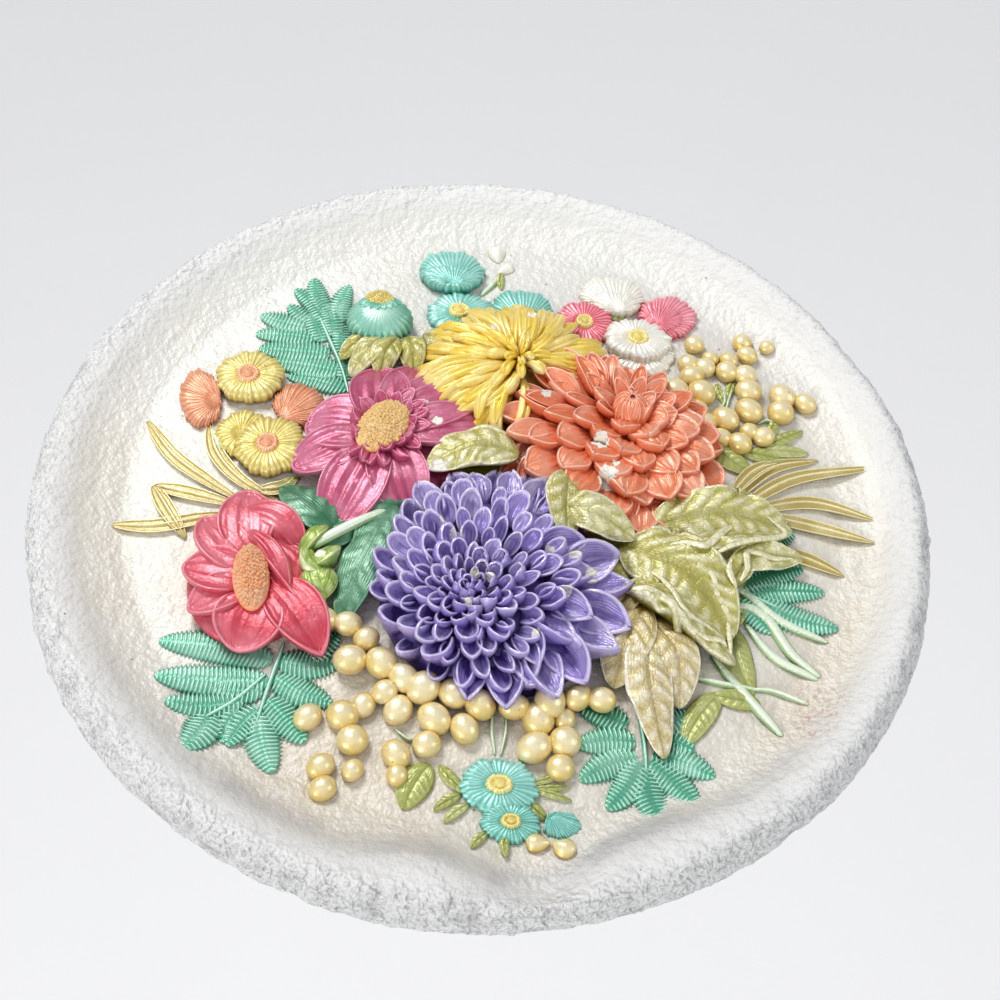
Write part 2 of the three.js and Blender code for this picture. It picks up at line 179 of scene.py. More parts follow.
@dataclass
class Shells:
    """Closed shells of equal make, each a stack of rings between two poles.

    Attributes:
        rings: (shells, rings, spokes, 3), from the first pole to the last, running round the outside face.
        poles: (shells, 2, 3).
        tone: (shells, rings, spokes, 2), how much edge and how much shade each point has.
        lay: (shells, rings, spokes, 2), millimetres along and across the form.
        seed: (shells,), a number of its own for every shell.
    """

    rings: Array
    poles: Array
    tone: Array
    lay: Array
    seed: Array

    def flat(self, values: Array, poles: Array) -> Array:
        """Ring values and pole values in the order of the vertices."""
        count, depth = len(values), values.shape[-1]
        return np.concatenate([values.reshape(count, -1, depth), poles], axis=1).reshape(-1, depth)

    def points(self) -> Array:
        """Every vertex, shell by shell."""
        return self.flat(self.rings, self.poles)

    def notes(self) -> Array:
        """Edge, shade, along, across and seed of every vertex."""
        values = np.concatenate([self.tone, self.lay], axis=-1)
        ends = np.stack([values[:, 0].mean(axis=1), values[:, -1].mean(axis=1)], axis=1)
        flat = self.flat(values, ends)
        return np.column_stack([flat, np.repeat(self.seed, len(flat) // len(self.seed))])

    def triangles(self) -> Array:
        """Two triangles for each patch between neighbouring rings and one for each patch at a pole."""
        count, rings, spokes = self.rings.shape[:3]
        ring, spoke = np.meshgrid(np.arange(rings - 1), np.arange(spokes), indexing="ij")
        a = ring * spokes + spoke
        d = ring * spokes + (spoke + 1) % spokes
        b, c = a + spokes, d + spokes
        first, last = rings * spokes, rings * spokes + 1
        around = np.arange(spokes)
        following = (around + 1) % spokes
        tail = (rings - 1) * spokes
        faces = np.concatenate([
            np.stack([a, b, c], -1).reshape(-1, 3),
            np.stack([a, c, d], -1).reshape(-1, 3),
            np.stack([np.full(spokes, first), around, following], -1),
            np.stack([np.full(spokes, last), tail + following, tail + around], -1),
        ])
        return (faces[None] + (np.arange(count) * (rings * spokes + 2))[:, None, None]).reshape(-1, 3)


class Forms:
    """What all forms share: the first field has an entry per form, a value one number or one per form."""

    def column(self, value: Value) -> Array:
        """A field as an array that spreads over rings and spokes."""
        count = len(getattr(self, fields(self)[0].name))
        return np.broadcast_to(np.asarray(value, float), count)[:, None, None]


# Rings round a petal's wall: (share of the way from its middle to its outline, share of its body below it).
PETAL_WALL = ((1.012, 0.09), (1.01, 0.24), (0.97, 0.48), (0.86, 0.75), (0.6, 0.95))


@dataclass
class Petals(Forms):
    """Spoon-shaped petals, in millimetres.

    A petal is a disc of rings about its widest station, laid along a bent centreline. Its half width at a
    share s of its length is proportional to the root of s(1 - s), times s to the waist and (1 - s) to the
    point. Its face stands over the centreline by cup times the ring's share to the power 2.2, up to a rolled
    lip that takes the outer share lip and is rim high; it has a middle groove of depth crease, and striae + 1
    fine ridges of height groove that meet at both ends. Below the outline it is a rounded body.
    """

    root: Array
    tip: Array
    width: Value
    arch: Value = 0.0
    bow: Value = 0.0
    bank: Value = 0.0
    cup: Value = 0.0
    rim: Value = 0.3
    lip: float = 0.18
    curl: Value = 0.0
    crease: Value = 0.0
    point: Value = 0.0
    waist: Value = 0.4
    body: Value = 3.0
    striae: float = 5.0
    groove: float = 0.0
    wave: Value = 0.0
    shade: float = 0.0
    spokes: int = 32

    def widest(self) -> Array:
        """The share of the length at which a petal is widest."""
        waist, point = self.column(self.waist), self.column(self.point)
        return (0.5 + waist) / (1 + waist + point)

    def half_width(self, along: Array) -> Array:
        """Half the width at shares of the length."""
        waist, point = self.column(self.waist), self.column(self.point)
        shape = lambda s: np.sqrt(s * (1 - s)) * s**waist * (1 - s) ** point
        return self.column(self.width) / 2 * shape(np.clip(along, 0, 1)) / shape(self.widest())

    def shells(self) -> Shells:
        """The petals as closed shells."""
        inner = np.linspace(0.14, 1 - self.lip, 8)
        rolled = 1 - self.lip * (1 - np.array([0.14, 0.3, 0.5, 0.7, 0.86, 1.0]))
        wall, sunk = np.array(PETAL_WALL).T
        share = np.concatenate([inner, rolled, wall])[None, :, None]
        drop = np.concatenate([0 * inner, 0 * rolled, sunk])[None, :, None]
        turn = turns(self.spokes)[None, None]
        widest = self.widest()
        rim_along = (1 - np.cos(turn)) / 2
        along = widest + (rim_along - widest) * share
        across = -np.sign(np.sin(turn)) * self.half_width(rim_along) * share
        inside = np.clip(along, 0, 1)
        side = np.clip(across / np.maximum(self.half_width(inside), 1e-6), -1, 1)
        reach = np.minimum(share, 1.0)
        free = smooth(0.03, 0.45, inside)
        hollow = np.minimum(reach / (1 - 0.6 * self.lip), 1)
        height = self.column(self.cup) * hollow**2.2 * free
        bulge = np.sqrt(np.clip(1 - ((reach - 1 + 0.5 * self.lip) / (0.5 * self.lip)) ** 2, 0, 1))
        height = height + self.column(self.rim) * bulge * smooth(0.1, 0.35, inside)
        height = height - self.column(self.crease) * bell(side, 0, 0.2) * free
        ridges = np.cos(np.pi * self.striae * side) * (1 - reach**8) * smooth(0.02, 0.2, inside)
        height = height + self.groove * ridges + self.column(self.curl) * smooth(0.5, 1, inside) ** 2
        ripple = np.sin(9 * inside + 5 * self.column(self.tip[:, 0]) + 2 * np.sign(across))
        height = height + self.column(self.wave) * ripple * reach**3 * free
        height = height - self.column(self.body) * drop
        place = self.laid(inside, along, across, height)
        # Painted shade at the root, down the wall below the outline and, where shade is given, over the face;
        # the rolled lip and the top of the wall are painted lighter, partly worn paint, partly painted
        # highlight.
        shade = np.maximum(drop * 1.2, 0.75 * (1 - free))
        shade = np.maximum(shade, self.shade * (1 - reach**6) * (1.6 - inside))
        edge = np.where(drop > 0, np.clip(0.7 - drop * 4, 0, 1), bulge) * smooth(0.12, 0.4, inside)
        tone = together(edge, shade)
        length = np.linalg.norm(self.tip - self.root, axis=-1)[:, None, None]
        lay = together(inside * length, side * self.column(self.width) / 2)
        middle = np.broadcast_to(widest, (len(self.root), 1, 1))
        flat = np.zeros_like(middle)
        top = self.laid(middle, middle, flat, flat + self.groove - self.column(self.crease))
        under = self.laid(middle, middle, flat, flat - self.column(self.body))
        poles = np.concatenate([top[:, 0], under[:, 0]], axis=1)
        return Shells(place, poles, tone, lay, own_number(self.tip))

    def laid(self, inside: Array, along: Array, across: Array, height: Array) -> Array:
        """Places at shares along, millimetres across and above the bent centreline of each petal.

        Args:
            inside: the share of the length at which the frame is taken, from 0 to 1.
            along: the share of the length, which may lie a little beyond an end.
            across: distance to the side.
            height: distance above the centreline.

        Returns:
            (petals, rings, spokes, 3) places.
        """
        root, tip = self.root[:, None, None], self.tip[:, None, None]
        up = np.array([0.0, 0.0, 1.0])
        aside = unit(np.cross(up, tip - root))
        middle = (root + tip) / 2 + 2 * self.column(self.arch)[..., None] * up
        middle = middle + 2 * self.column(self.bow)[..., None] * aside
        s = inside[..., None]
        centre = (1 - s) ** 2 * root + 2 * s * (1 - s) * middle + s**2 * tip
        forward = 2 * (1 - s) * (middle - root) + 2 * s * (tip - middle)
        length = np.linalg.norm(tip - root, axis=-1, keepdims=True)
        forward = unit(forward)
        centre = centre + forward * (along - inside)[..., None] * length
        level = unit(np.cross(up, forward))
        normal = np.cross(forward, level)
        sideways, outwards = leaning(level, normal, self.column(self.bank)[..., None])
        return centre + sideways * across[..., None] + outwards * height[..., None]


class Surface(Enum):
    """What the face of a blade is like."""

    STRAP = "two soft ridges with a groove between"
    GRASS = "a raised vein and raised edges"
    FERN = "slanting ribs either side of a vein, with a toothed edge"
    LEAF = "a vein, side veins and a wavy raised edge"
    STEM = "round"
    # A fold carries a painted highlight along its top.
    FOLD = "a rounded fold, bright all over"


@dataclass
class Blades(Forms):
    """Long forms along curved spines: straps, grass, fern leaflets, leaves and stems, in millimetres.

    The half width at a share s is W/2 times sin(pi s^p)^q, with the greatest width at the share peak and
    q = blunt. Across the face, t runs from -1 to 1 and the height is crest (1 - t^2) + cup t^2 plus the
    relief of the surface.
    """

    spines: list[Array]
    width: Value
    surface: Surface
    crest: Value = 1.0
    cup: Value = 0.0
    body: float = 2.0
    peak: float = 0.5
    blunt: float = 0.7
    pitch: float = 1.4
    depth: float = 0.3
    wave: Value = 0.0
    twist: Value = 0.0
    stations: int = 24
    lanes: int = 10

    def ribs(self, x: Array, y: Array) -> Array:
        """The slanting ribs of a fern leaflet as a wave between -1 and 1."""
        return np.cos(2 * np.pi * (x - 0.16 * np.abs(y)) / self.pitch)

    def relief(self, x: Array, t: Array, y: Array) -> Array:
        """Fine height of the face at x millimetres along, share t across and y millimetres across."""
        side = np.abs(t)
        if self.surface is Surface.STRAP:
            return self.depth * (bell(side, 0.55, 0.25) - bell(t, 0, 0.22))
        if self.surface is Surface.GRASS:
            return self.depth * (smooth(0.72, 0.9, side) + 1.2 * bell(t, 0.1, 0.13))
        if self.surface is Surface.FERN:
            ribs = self.ribs(x, y) * smooth(0.1, 0.28, side)
            return self.depth * (ribs - 0.9 * bell(t, 0, 0.1) + 0.5 * smooth(0.8, 0.94, side))
        if self.surface is Surface.LEAF:
            middle = bell(side, 0.06, 0.035) - 1.2 * bell(t, 0, 0.03)
            raised = smooth(0.88, 0.97, side)
            return self.depth * (3.0 * self.pillows(x, y, side) + 1.3 * middle + 2.0 * raised)
        return 0.0 * t

    def pillows(self, x: Array, y: Array, side: Array) -> Array:
        """Swellings between a leaf's side veins: 0 on a vein, 1 between two, fading out at the edge."""
        slant = (x - 0.75 * np.abs(y) + 0.8 * np.sin(0.5 * y)) / self.pitch
        return np.abs(np.sin(np.pi * slant)) ** 0.6 * smooth(0.03, 0.3, side) * (1 - 0.7 * side**6)

    def shells(self) -> Shells:
        """The blades as closed shells."""
        shares = (np.arange(self.stations) + 0.5) / self.stations
        below = np.linspace(1, -1, 5)[:-1]
        above = np.linspace(-1, 1, self.lanes + 1)[:-1]
        across = np.concatenate([below, above])[None, None]
        is_face = (np.arange(across.size) >= len(below))[None, None]
        laid = [spline(np.asarray(spine, float), shares) for spine in self.spines]
        centre, forward = (np.stack([pair[k] for pair in laid]) for k in range(2))
        ends = np.stack([np.asarray(spine, float)[[0, -1]] for spine in self.spines])
        steps = np.linalg.norm(np.diff(centre, axis=1), axis=-1)
        length = steps.sum(axis=1)[:, None, None]
        s = shares[None, :, None]
        power = math.log(0.5) / math.log(self.peak)
        half = self.column(self.width) / 2 * np.sin(np.pi * s**power) ** self.blunt
        x, y = s * length, half * across
        if self.surface is Surface.FERN:
            y = y * (1 + 0.13 * self.ribs(x, half) * np.abs(across) ** 3)
        thin = np.sin(np.pi * s**power) ** 0.5
        face = self.column(self.crest) * (1 - across**2) + self.column(self.cup) * across**2
        phase = self.column([7.1 * float(np.asarray(spine)[-1][0]) for spine in self.spines])
        ripple = np.sin(x / 3.1 + phase + 1.3 * np.sign(across)) + 0.5 * np.sin(x / 1.7 + 2 * phase)
        face = face + self.column(self.wave) * ripple * np.abs(across) ** 3
        keel = self.column(self.cup) * across**2 - self.body * np.sqrt(np.maximum(1 - across**2, 0))
        height = np.where(is_face, face + self.relief(x, across, y), keel) * thin
        level = unit(np.cross(np.array([0.0, 0.0, 1.0]), forward))[:, :, None]
        normal = np.cross(unit(forward)[:, :, None], level)
        sideways, outwards = leaning(level, normal, self.column(self.twist)[..., None])
        rings = centre[:, :, None] + sideways * y[..., None] + outwards * height[..., None]
        lay = together(x, across * self.column(self.width) / 2)
        return Shells(rings, ends, self.tone(x, y, s, across, is_face), lay, own_number(ends[:, 1]))

    def tone(self, x: Array, y: Array, s: Array, across: Array, is_face: Array) -> Array:
        """Edge and shade of points x and y millimetres along and across; s and across are the shares."""
        # Edge is painted lighter, partly worn paint and partly painted highlight; on stems and folds it is a
        # painted highlight along the top. Hollow is painted shade: at the root, underneath, in grooves,
        # between ribs and veins, and on the sides of stems.
        side = np.abs(across) + 0 * s
        edge = np.where(is_face, smooth(0.75, 0.98, side), 0.4)
        hollow = np.where(is_face, 0.5 * (1 - smooth(0, 0.25, s)), 0.9)
        if self.surface is Surface.FERN:
            proud = 0.5 + 0.5 * self.ribs(x, y)
            edge = np.where(is_face, proud**1.5 * smooth(0.12, 0.3, side), 0.0)
            hollow = np.where(is_face, 0.9 * (1 - edge), 1.0)
        if self.surface in (Surface.STEM, Surface.FOLD):
            bright = 1.0 if self.surface is Surface.FOLD else 0.85
            edge = np.where(is_face, bright * (1 - smooth(0.45, 0.95, side)), 0.0)
            hollow = np.where(is_face, 0.8 * smooth(0.5, 1.0, side), 0.9)
        if self.surface is Surface.GRASS:
            ridge = np.maximum(smooth(0.68, 0.9, side), bell(across, 0.1, 0.16))
            edge = np.where(is_face, ridge, 0.2)
            hollow = np.where(is_face, 0.8 * (1 - ridge), 0.9)
        if self.surface is Surface.LEAF:
            raised = self.pillows(x, y, side)
            vein = (1.0 - raised) * (1 - smooth(0.75, 0.9, side))
            edge = np.where(is_face, np.maximum(edge, 0.62 * raised**2), edge)
            hollow = np.where(is_face, np.maximum(hollow, vein), hollow)
        return together(edge, hollow + 0 * y)


@dataclass
class Fans(Forms):
    """Ribbed discs, in millimetres: daisies seen from the front or the side, and their eyes.

    Rings run from a hub to an ellipse about the centre. The height over the base is the profile at the ring,
    plus ribs that wander a little round the disc, and the outline is drawn in a little between the ribs.
    """

    hub: Array
    centre: Array
    radii: Array
    base: Array
    high: Value
    turn: Value = 0.0
    profile: tuple[tuple[float, float], ...] = ((0, 0.7), (0.4, 1.0), (0.8, 0.95), (0.93, 0.75), (1, 0.45))
    ribs: int = 34
    rib_height: float = 0.26
    scallop: float = 0.06
    tilt: Value = 0.0
    faces: int = 12
    fineness: int = 4

    def shells(self) -> Shells:
        """The discs as closed shells."""
        share = np.concatenate([np.linspace(0.1, 0.94, self.faces), [0.975, 1.0, 1.0, 0.97, 0.9]])
        sunk = np.concatenate([np.zeros(self.faces + 2), [0.35, 1.0, 1.5]])
        share, sunk = share[None, :, None], sunk[None, :, None]
        angle = turns(max(self.ribs, 4) * self.fineness)[None, None]
        wobble = self.column([math.sin(12.9898 * float(h[0]) + 78.233 * float(h[1])) * 3 for h in self.hub])
        across = self.ribs * angle + 1.6 * np.sin(3 * angle + wobble) + 0.7 * np.sin(8 * angle + 2 * wobble)
        ribbed = 2 * np.abs(np.cos(across / 2)) ** 0.7 - 1
        uneven = np.sin(5 * angle + wobble) + np.sin(11 * angle + 3 * wobble)
        uneven = uneven + 0.8 * np.sin(17 * angle - wobble)
        grown = 1 - self.scallop * (0.5 - 0.5 * ribbed) + 0.4 * self.scallop * uneven
        out_u = self.column(self.radii[:, 0]) * np.cos(angle) * grown
        out_v = self.column(self.radii[:, 1]) * np.sin(angle) * grown
        outwards = rotated(out_u, out_v, self.column(self.turn))
        u, v = (
            self.column(hub) + (self.column(centre) + out - self.column(hub)) * share
            for hub, centre, out in zip(self.hub.T, self.centre.T, outwards)
        )
        stops, levels = zip(*self.profile)
        height = self.column(self.high) * np.interp(share, stops, levels)
        height = height + self.rib_height * ribbed * smooth(0.12, 0.45, share)
        height = height + 0.5 * self.rib_height * uneven * smooth(0.3, 1.0, share)
        height = height + self.column(self.tilt) * (v - self.column(self.centre[:, 1]))
        floor = self.column(self.base) - 1.5
        top = self.column(self.base) + height
        w = np.where(sunk > 0, top + (floor - top) * np.minimum(sunk, 1), top) - np.maximum(sunk - 1, 0)
        rings = together(u, v, w)
        first = np.column_stack([self.hub, rings[:, 0, :, 2].mean(axis=1)])
        last = np.column_stack([self.hub, floor[:, 0, 0] - 1])
        # Rib crests painted lighter, partly worn paint and partly painted highlight; painted shade between
        # the ribs and on the sunk wall.
        edge = np.clip(ribbed, 0, 1) * smooth(0.15, 0.5, share) * (1 - np.minimum(sunk, 1))
        shade = np.maximum(0.9 * (0.5 - 0.5 * ribbed) * smooth(0.1, 0.4, share), np.minimum(sunk, 1) * 0.8)
        tone = together(edge, shade + 0 * top)
        lay = together(share * self.column(self.radii[:, 0]), angle * 4 + 0 * top)
        return Shells(rings, np.stack([first, last], axis=1), tone, lay, own_number(self.hub))


@dataclass
class Domes(Forms):
    """Ellipsoids with their axis out of the wall, in millimetres: berries, balls, beads and mounds.

    A point is the centre plus the radii times (sin a cos b, sin a sin b, cos a), turned in the plane of the
    wall. Its top carries a painted highlight, its lower side and rib valleys painted shade. A buried dome is
    painted as shade all over and has a flat foot a little below its centre.
    """

    centre: Array
    radii: Array
    turn: Value = 0.0
    rings: int = 9
    spokes: int = 18
    ribs: int = 0
    rib_depth: float = 0.0
    buried: bool = False
    foot: float = 3.0

    def shells(self) -> Shells:
        """The ellipsoids as closed shells."""
        polar = (np.pi * (np.arange(self.rings) + 1) / (self.rings + 1))[None, :, None]
        angle = turns(self.spokes)[None, None]
        ripple = 1 + self.rib_depth * np.cos(self.ribs * angle) * np.sin(polar) ** 2
        radii = self.radii[:, None, None]
        x = radii[..., 0] * np.sin(polar) * np.cos(angle) * ripple
        y = radii[..., 1] * np.sin(polar) * np.sin(angle) * ripple
        z = radii[..., 2] * np.cos(polar)
        rings = self.centre[:, None, None] + together(*rotated(x, y, self.column(self.turn)), z)
        above = np.array([[0, 0, 1]])[None] * self.radii[:, None, 2:]
        below = -above
        # Painted highlight on the top, painted shade on the lower side and between the ribs.
        edge = np.clip(np.cos(polar), 0, 1) ** 4
        shade = 0 * x + 0.9 * smooth(0.2, 0.5, polar / np.pi) + 0.4 * (1 - ripple) / max(self.rib_depth, 1e-6)
        # A buried dome shows only in gaps, so it is painted as shade all over.
        if self.buried:
            edge, shade = 0 * x, 1 + 0 * x
            below = np.broadcast_to([0.0, 0.0, -self.foot], above.shape)
            rings[..., 2] = np.maximum(rings[..., 2], self.centre[:, None, None, 2] - self.foot)
        poles = self.centre[:, None] + np.concatenate([above, below], axis=1)
        tone = together(edge, np.clip(shade, 0, 1))
        lay = together(polar * 5, angle * 5 + 0 * x)
        return Shells(rings, poles, tone, lay, own_number(self.centre))


def mound(centre: tuple, radii: tuple, rings: int = 14, spokes: int = 48, turn: float = 0.0) -> Shells:
    """Buried domes painted as shade that close gaps; centre and radii are one row, or one row for each."""
    return Domes(np.atleast_2d(centre), np.atleast_2d(radii), turn, rings, spokes, buried=True).shells()


def seeds(centre: Point, radii: Point, turn: float, count: int, size: float) -> Shells:
    """Small beads over a dome, each a golden angle on from the last, with distances that grow as a root.

    Args:
        centre: middle of the dome's foot.
        radii: half the dome's width, length and its height.
        turn: angle that the dome is turned in the plane of the wall.
        count: number of beads.
        size: radius of a bead.

    Returns:
        The beads as closed shells.
    """
    number = np.arange(count)
    out = np.sqrt((number + 0.5) / count) * 0.97
    angle = number * GOLDEN_ANGLE
    x, y = radii[0] * out * np.cos(angle), radii[1] * out * np.sin(angle)
    z = radii[2] * np.sqrt(1 - out**2)
    beads = np.array(centre) + together(*rotated(x, y, turn), z)
    beads = beads + 0.3 * scatter(count, count).T * size
    grown = size * (1 + 0.3 * scatter(count, count + 1)[0])
    return Domes(beads, grown[:, None] * np.ones(3), rings=3, spokes=7).shells()


def scatter(count: int, seed: int) -> Array:
    """Three rows of random numbers from -1 to 1."""
    return np.random.default_rng(seed).uniform(-1, 1, (3, count))


def spacing(count: int, growth: float, radius: float, reach: Array) -> Array:
    """Distance between neighbours at a reach in a spiral whose reach grows with a power of the number."""
    return math.sqrt(2 * math.pi * growth / count) * radius * reach ** (1 - 0.5 / growth)


@dataclass(frozen=True)
class Head:
    """A flower head of overlapping petals on a mound.

    The rows of petals start at the eye, and the outermost ends on an ellipse about the centre. The mound
    rises from rim at that ellipse to top.
    """

    eye: tuple[float, float]
    centre: tuple[float, float]
    radii: tuple[float, float]
    rim: float
    top: float

    def outline(self, angle: Array) -> Array:
        """Places of the ellipse in the plane of the wall."""
        return np.array(self.centre) + together(self.radii[0] * np.cos(angle), self.radii[1] * np.sin(angle))

    def place(self, angle: Array, reach: Array, lift: Value = 0.0) -> Array:
        """Places on the mound at shares of the way from the eye to the outline."""
        eye = np.array(self.eye)
        flat = eye + (self.outline(angle) - eye) * np.asarray(reach)[..., None]
        away = np.hypot(*((flat - np.array(self.centre)) / np.array(self.radii)).T).T
        height = self.rim + (self.top - self.rim) * np.sqrt(1 - np.minimum(away, 1) ** 2)
        return np.concatenate([flat, (height + lift)[..., None]], axis=-1)

    def bed(self, sink: float = 1.5) -> Shells:
        """The mound a little below the petals' feet, painted as shade, which closes the gaps between them."""
        radii = (self.radii[0] * 0.93, self.radii[1] * 0.93, self.top - self.rim)
        return mound((*self.centre, self.rim - sink), radii, rings=16)

    def standing(self, angle: Array, reach: Array, lift: Value, length: Array, rise: Array) -> tuple:
        """Roots and tips of petals that stand on the mound.

        Args:
            angle: direction of each petal from the eye.
            reach: share of the way from the eye to the outline at which its tip is.
            lift: height of the tip over the mound.
            length: distance from root to tip.
            rise: angle by which the petal rises outwards, in radians.

        Returns:
            The roots and the tips.
        """
        tip = self.place(angle, reach, lift)
        out = unit(self.outline(angle) - np.array(self.eye))
        back = np.column_stack([out * np.cos(rise)[:, None], np.sin(rise)])
        return tip - back * length[:, None], tip


class Socket:
    """A shader socket that takes part in arithmetic: each operator adds one Math node."""

    def __init__(self, shader: "Shader", socket: bpy.types.NodeSocket) -> None:
        """Wraps a socket of a shader."""
        self.shader, self.socket = shader, socket

    def math(self, operation: str, *values: "Socket | float", clamp: bool = False) -> "Socket":
        """A Math node on these values."""
        inputs = dict(enumerate(values))
        node = self.shader.node("ShaderNodeMath", {"operation": operation, "use_clamp": clamp}, inputs)
        return Socket(self.shader, node.outputs[0])

    def __add__(self, other: "Socket | float") -> "Socket":
        """The sum."""
        return self.math("ADD", self, other)

    def __mul__(self, other: "Socket | float") -> "Socket":
        """The product."""
        return self.math("MULTIPLY", self, other)

    def __sub__(self, other: "Socket | float") -> "Socket":
        """The difference."""
        return self.math("SUBTRACT", self, other)

    def __rsub__(self, other: float) -> "Socket":
        """The difference from a number."""
        return self.math("SUBTRACT", other, self)

    __radd__ = __add__
    __rmul__ = __mul__

    def sine(self) -> "Socket":
        """The sine."""
        return self.math("SINE", self)

    def step(self, low: float, high: float) -> "Socket":
        """A soft step from 0 at low to 1 at high."""
        settings = {"interpolation_type": "SMOOTHSTEP"}
        inputs = {"Value": self, "From Min": low, "From Max": high}
        return Socket(self.shader, self.shader.node("ShaderNodeMapRange", settings, inputs).outputs[0])


class Shader:
    """A material under construction, with one method that adds any node."""

    def __init__(self, name: str) -> None:
        """Starts an empty material with a Principled shader and the piece's own coordinates."""
        self.material = bpy.data.materials.new(name)
        self.material.use_nodes = True
        self.tree = self.material.node_tree
        self.tree.nodes.clear()
        self.surface = self.node("ShaderNodeBsdfPrincipled", {}, {})
        output = self.node("ShaderNodeOutputMaterial", {}, {})
        self.tree.links.new(self.surface.outputs[0], output.inputs[0])
        self.place = Socket(self, self.node("ShaderNodeTexCoord", {}, {}).outputs["Object"])

    def join(self, target: bpy.types.NodeSocket, value: "Socket | float | tuple") -> None:
        """Sets an input to a value or joins it to a socket."""
        if isinstance(value, Socket):
            self.tree.links.new(value.socket, target)
        else:
            target.default_value = value

    def node(self, kind: str, settings: dict, inputs: dict) -> bpy.types.Node:
        """Adds a node.

        Args:
            kind: the node's type.
            settings: its properties, set before anything is joined.
            inputs: a value or a socket for each named or numbered input.

        Returns:
            The node.
        """
        node = self.tree.nodes.new(kind)
        for key, value in settings.items():
            setattr(node, key, value)
        for key, value in inputs.items():
            self.join(node.inputs[key], value)
        return node

    def noise(self, size: float, detail: float = 2.0, roughness: float = 0.5) -> Socket:
        """Noise whose features are about size millimetres across."""
        inputs = {"Vector": self.place, "Scale": 1000 / size, "Detail": detail, "Roughness": roughness}
        return Socket(self, self.node("ShaderNodeTexNoise", {}, inputs).outputs[0])

    def cells(self, size: float) -> Socket:
        """Distance to the middle of the nearest cell, for cells of about size millimetres."""
        inputs = {"Vector": self.place, "Scale": 1000 / size}
        return Socket(self, self.node("ShaderNodeTexVoronoi", {}, inputs).outputs["Distance"])

    def meshes(self, size: float) -> Socket:
        """Distance to the nearest edge between wandering cells of about size millimetres."""
        wander = self.node("ShaderNodeTexNoise", {}, {"Vector": self.place, "Scale": 800 / size})
        inputs = {0: Socket(self, wander.outputs[1]), 1: (MILLIMETRE * 0.9 * size,) * 3}
        drift = self.node("ShaderNodeVectorMath", {"operation": "MULTIPLY"}, inputs)
        moved = self.node("ShaderNodeVectorMath", {}, {0: self.place, 1: Socket(self, drift.outputs[0])})
        inputs = {"Vector": Socket(self, moved.outputs[0]), "Scale": 1000 / size}
        node = self.node("ShaderNodeTexVoronoi", {"feature": "DISTANCE_TO_EDGE"}, inputs)
        return Socket(self, node.outputs["Distance"])

    def note(self, name: str) -> list[Socket]:
        """The three numbers of an attribute of the mesh."""
        attribute = self.node("ShaderNodeAttribute", {"attribute_name": name}, {})
        parts = self.node("ShaderNodeSeparateXYZ", {}, {0: Socket(self, attribute.outputs["Vector"])})
        return [Socket(self, output) for output in parts.outputs]

    def mix(self, share: Socket | float, first: "Socket | tuple", second: "Socket | tuple") -> Socket:
        """Two colours blended."""
        first, second = (value if isinstance(value, Socket) else (*value, 1.0) for value in (first, second))
        node = self.node("ShaderNodeMix", {"data_type": "RGBA"}, {"Factor": share, 6: first, 7: second})
        return Socket(self, node.outputs[2])

    def bump(self, height: Socket, distance: float, strength: float) -> None:
        """Tilts the surface's normal by a height, in millimetres when multiplied by distance."""
        inputs = {"Height": height, "Distance": distance * MILLIMETRE, "Strength": strength}
        node = self.node("ShaderNodeBump", {}, inputs)
        self.feed("Normal", Socket(self, node.outputs[0]))

    def feed(self, name: str, value: "Socket | float | tuple") -> None:
        """Sets an input of the surface or joins it to a socket."""
        self.join(self.surface.inputs[name], value)


def colour(red: int, green: int, blue: int) -> Point:
    """A paint's colour, given as it looks, in the linear values that shaders take."""
    values = np.array([red, green, blue]) / 255
    linear = np.where(values <= 0.04045, values / 12.92, ((values + 0.055) / 1.055) ** 2.4)
    return tuple(float(value) for value in linear)


PLASTER_WHITE = (240, 236, 226)
PLASTER_GREY = (150, 146, 142)


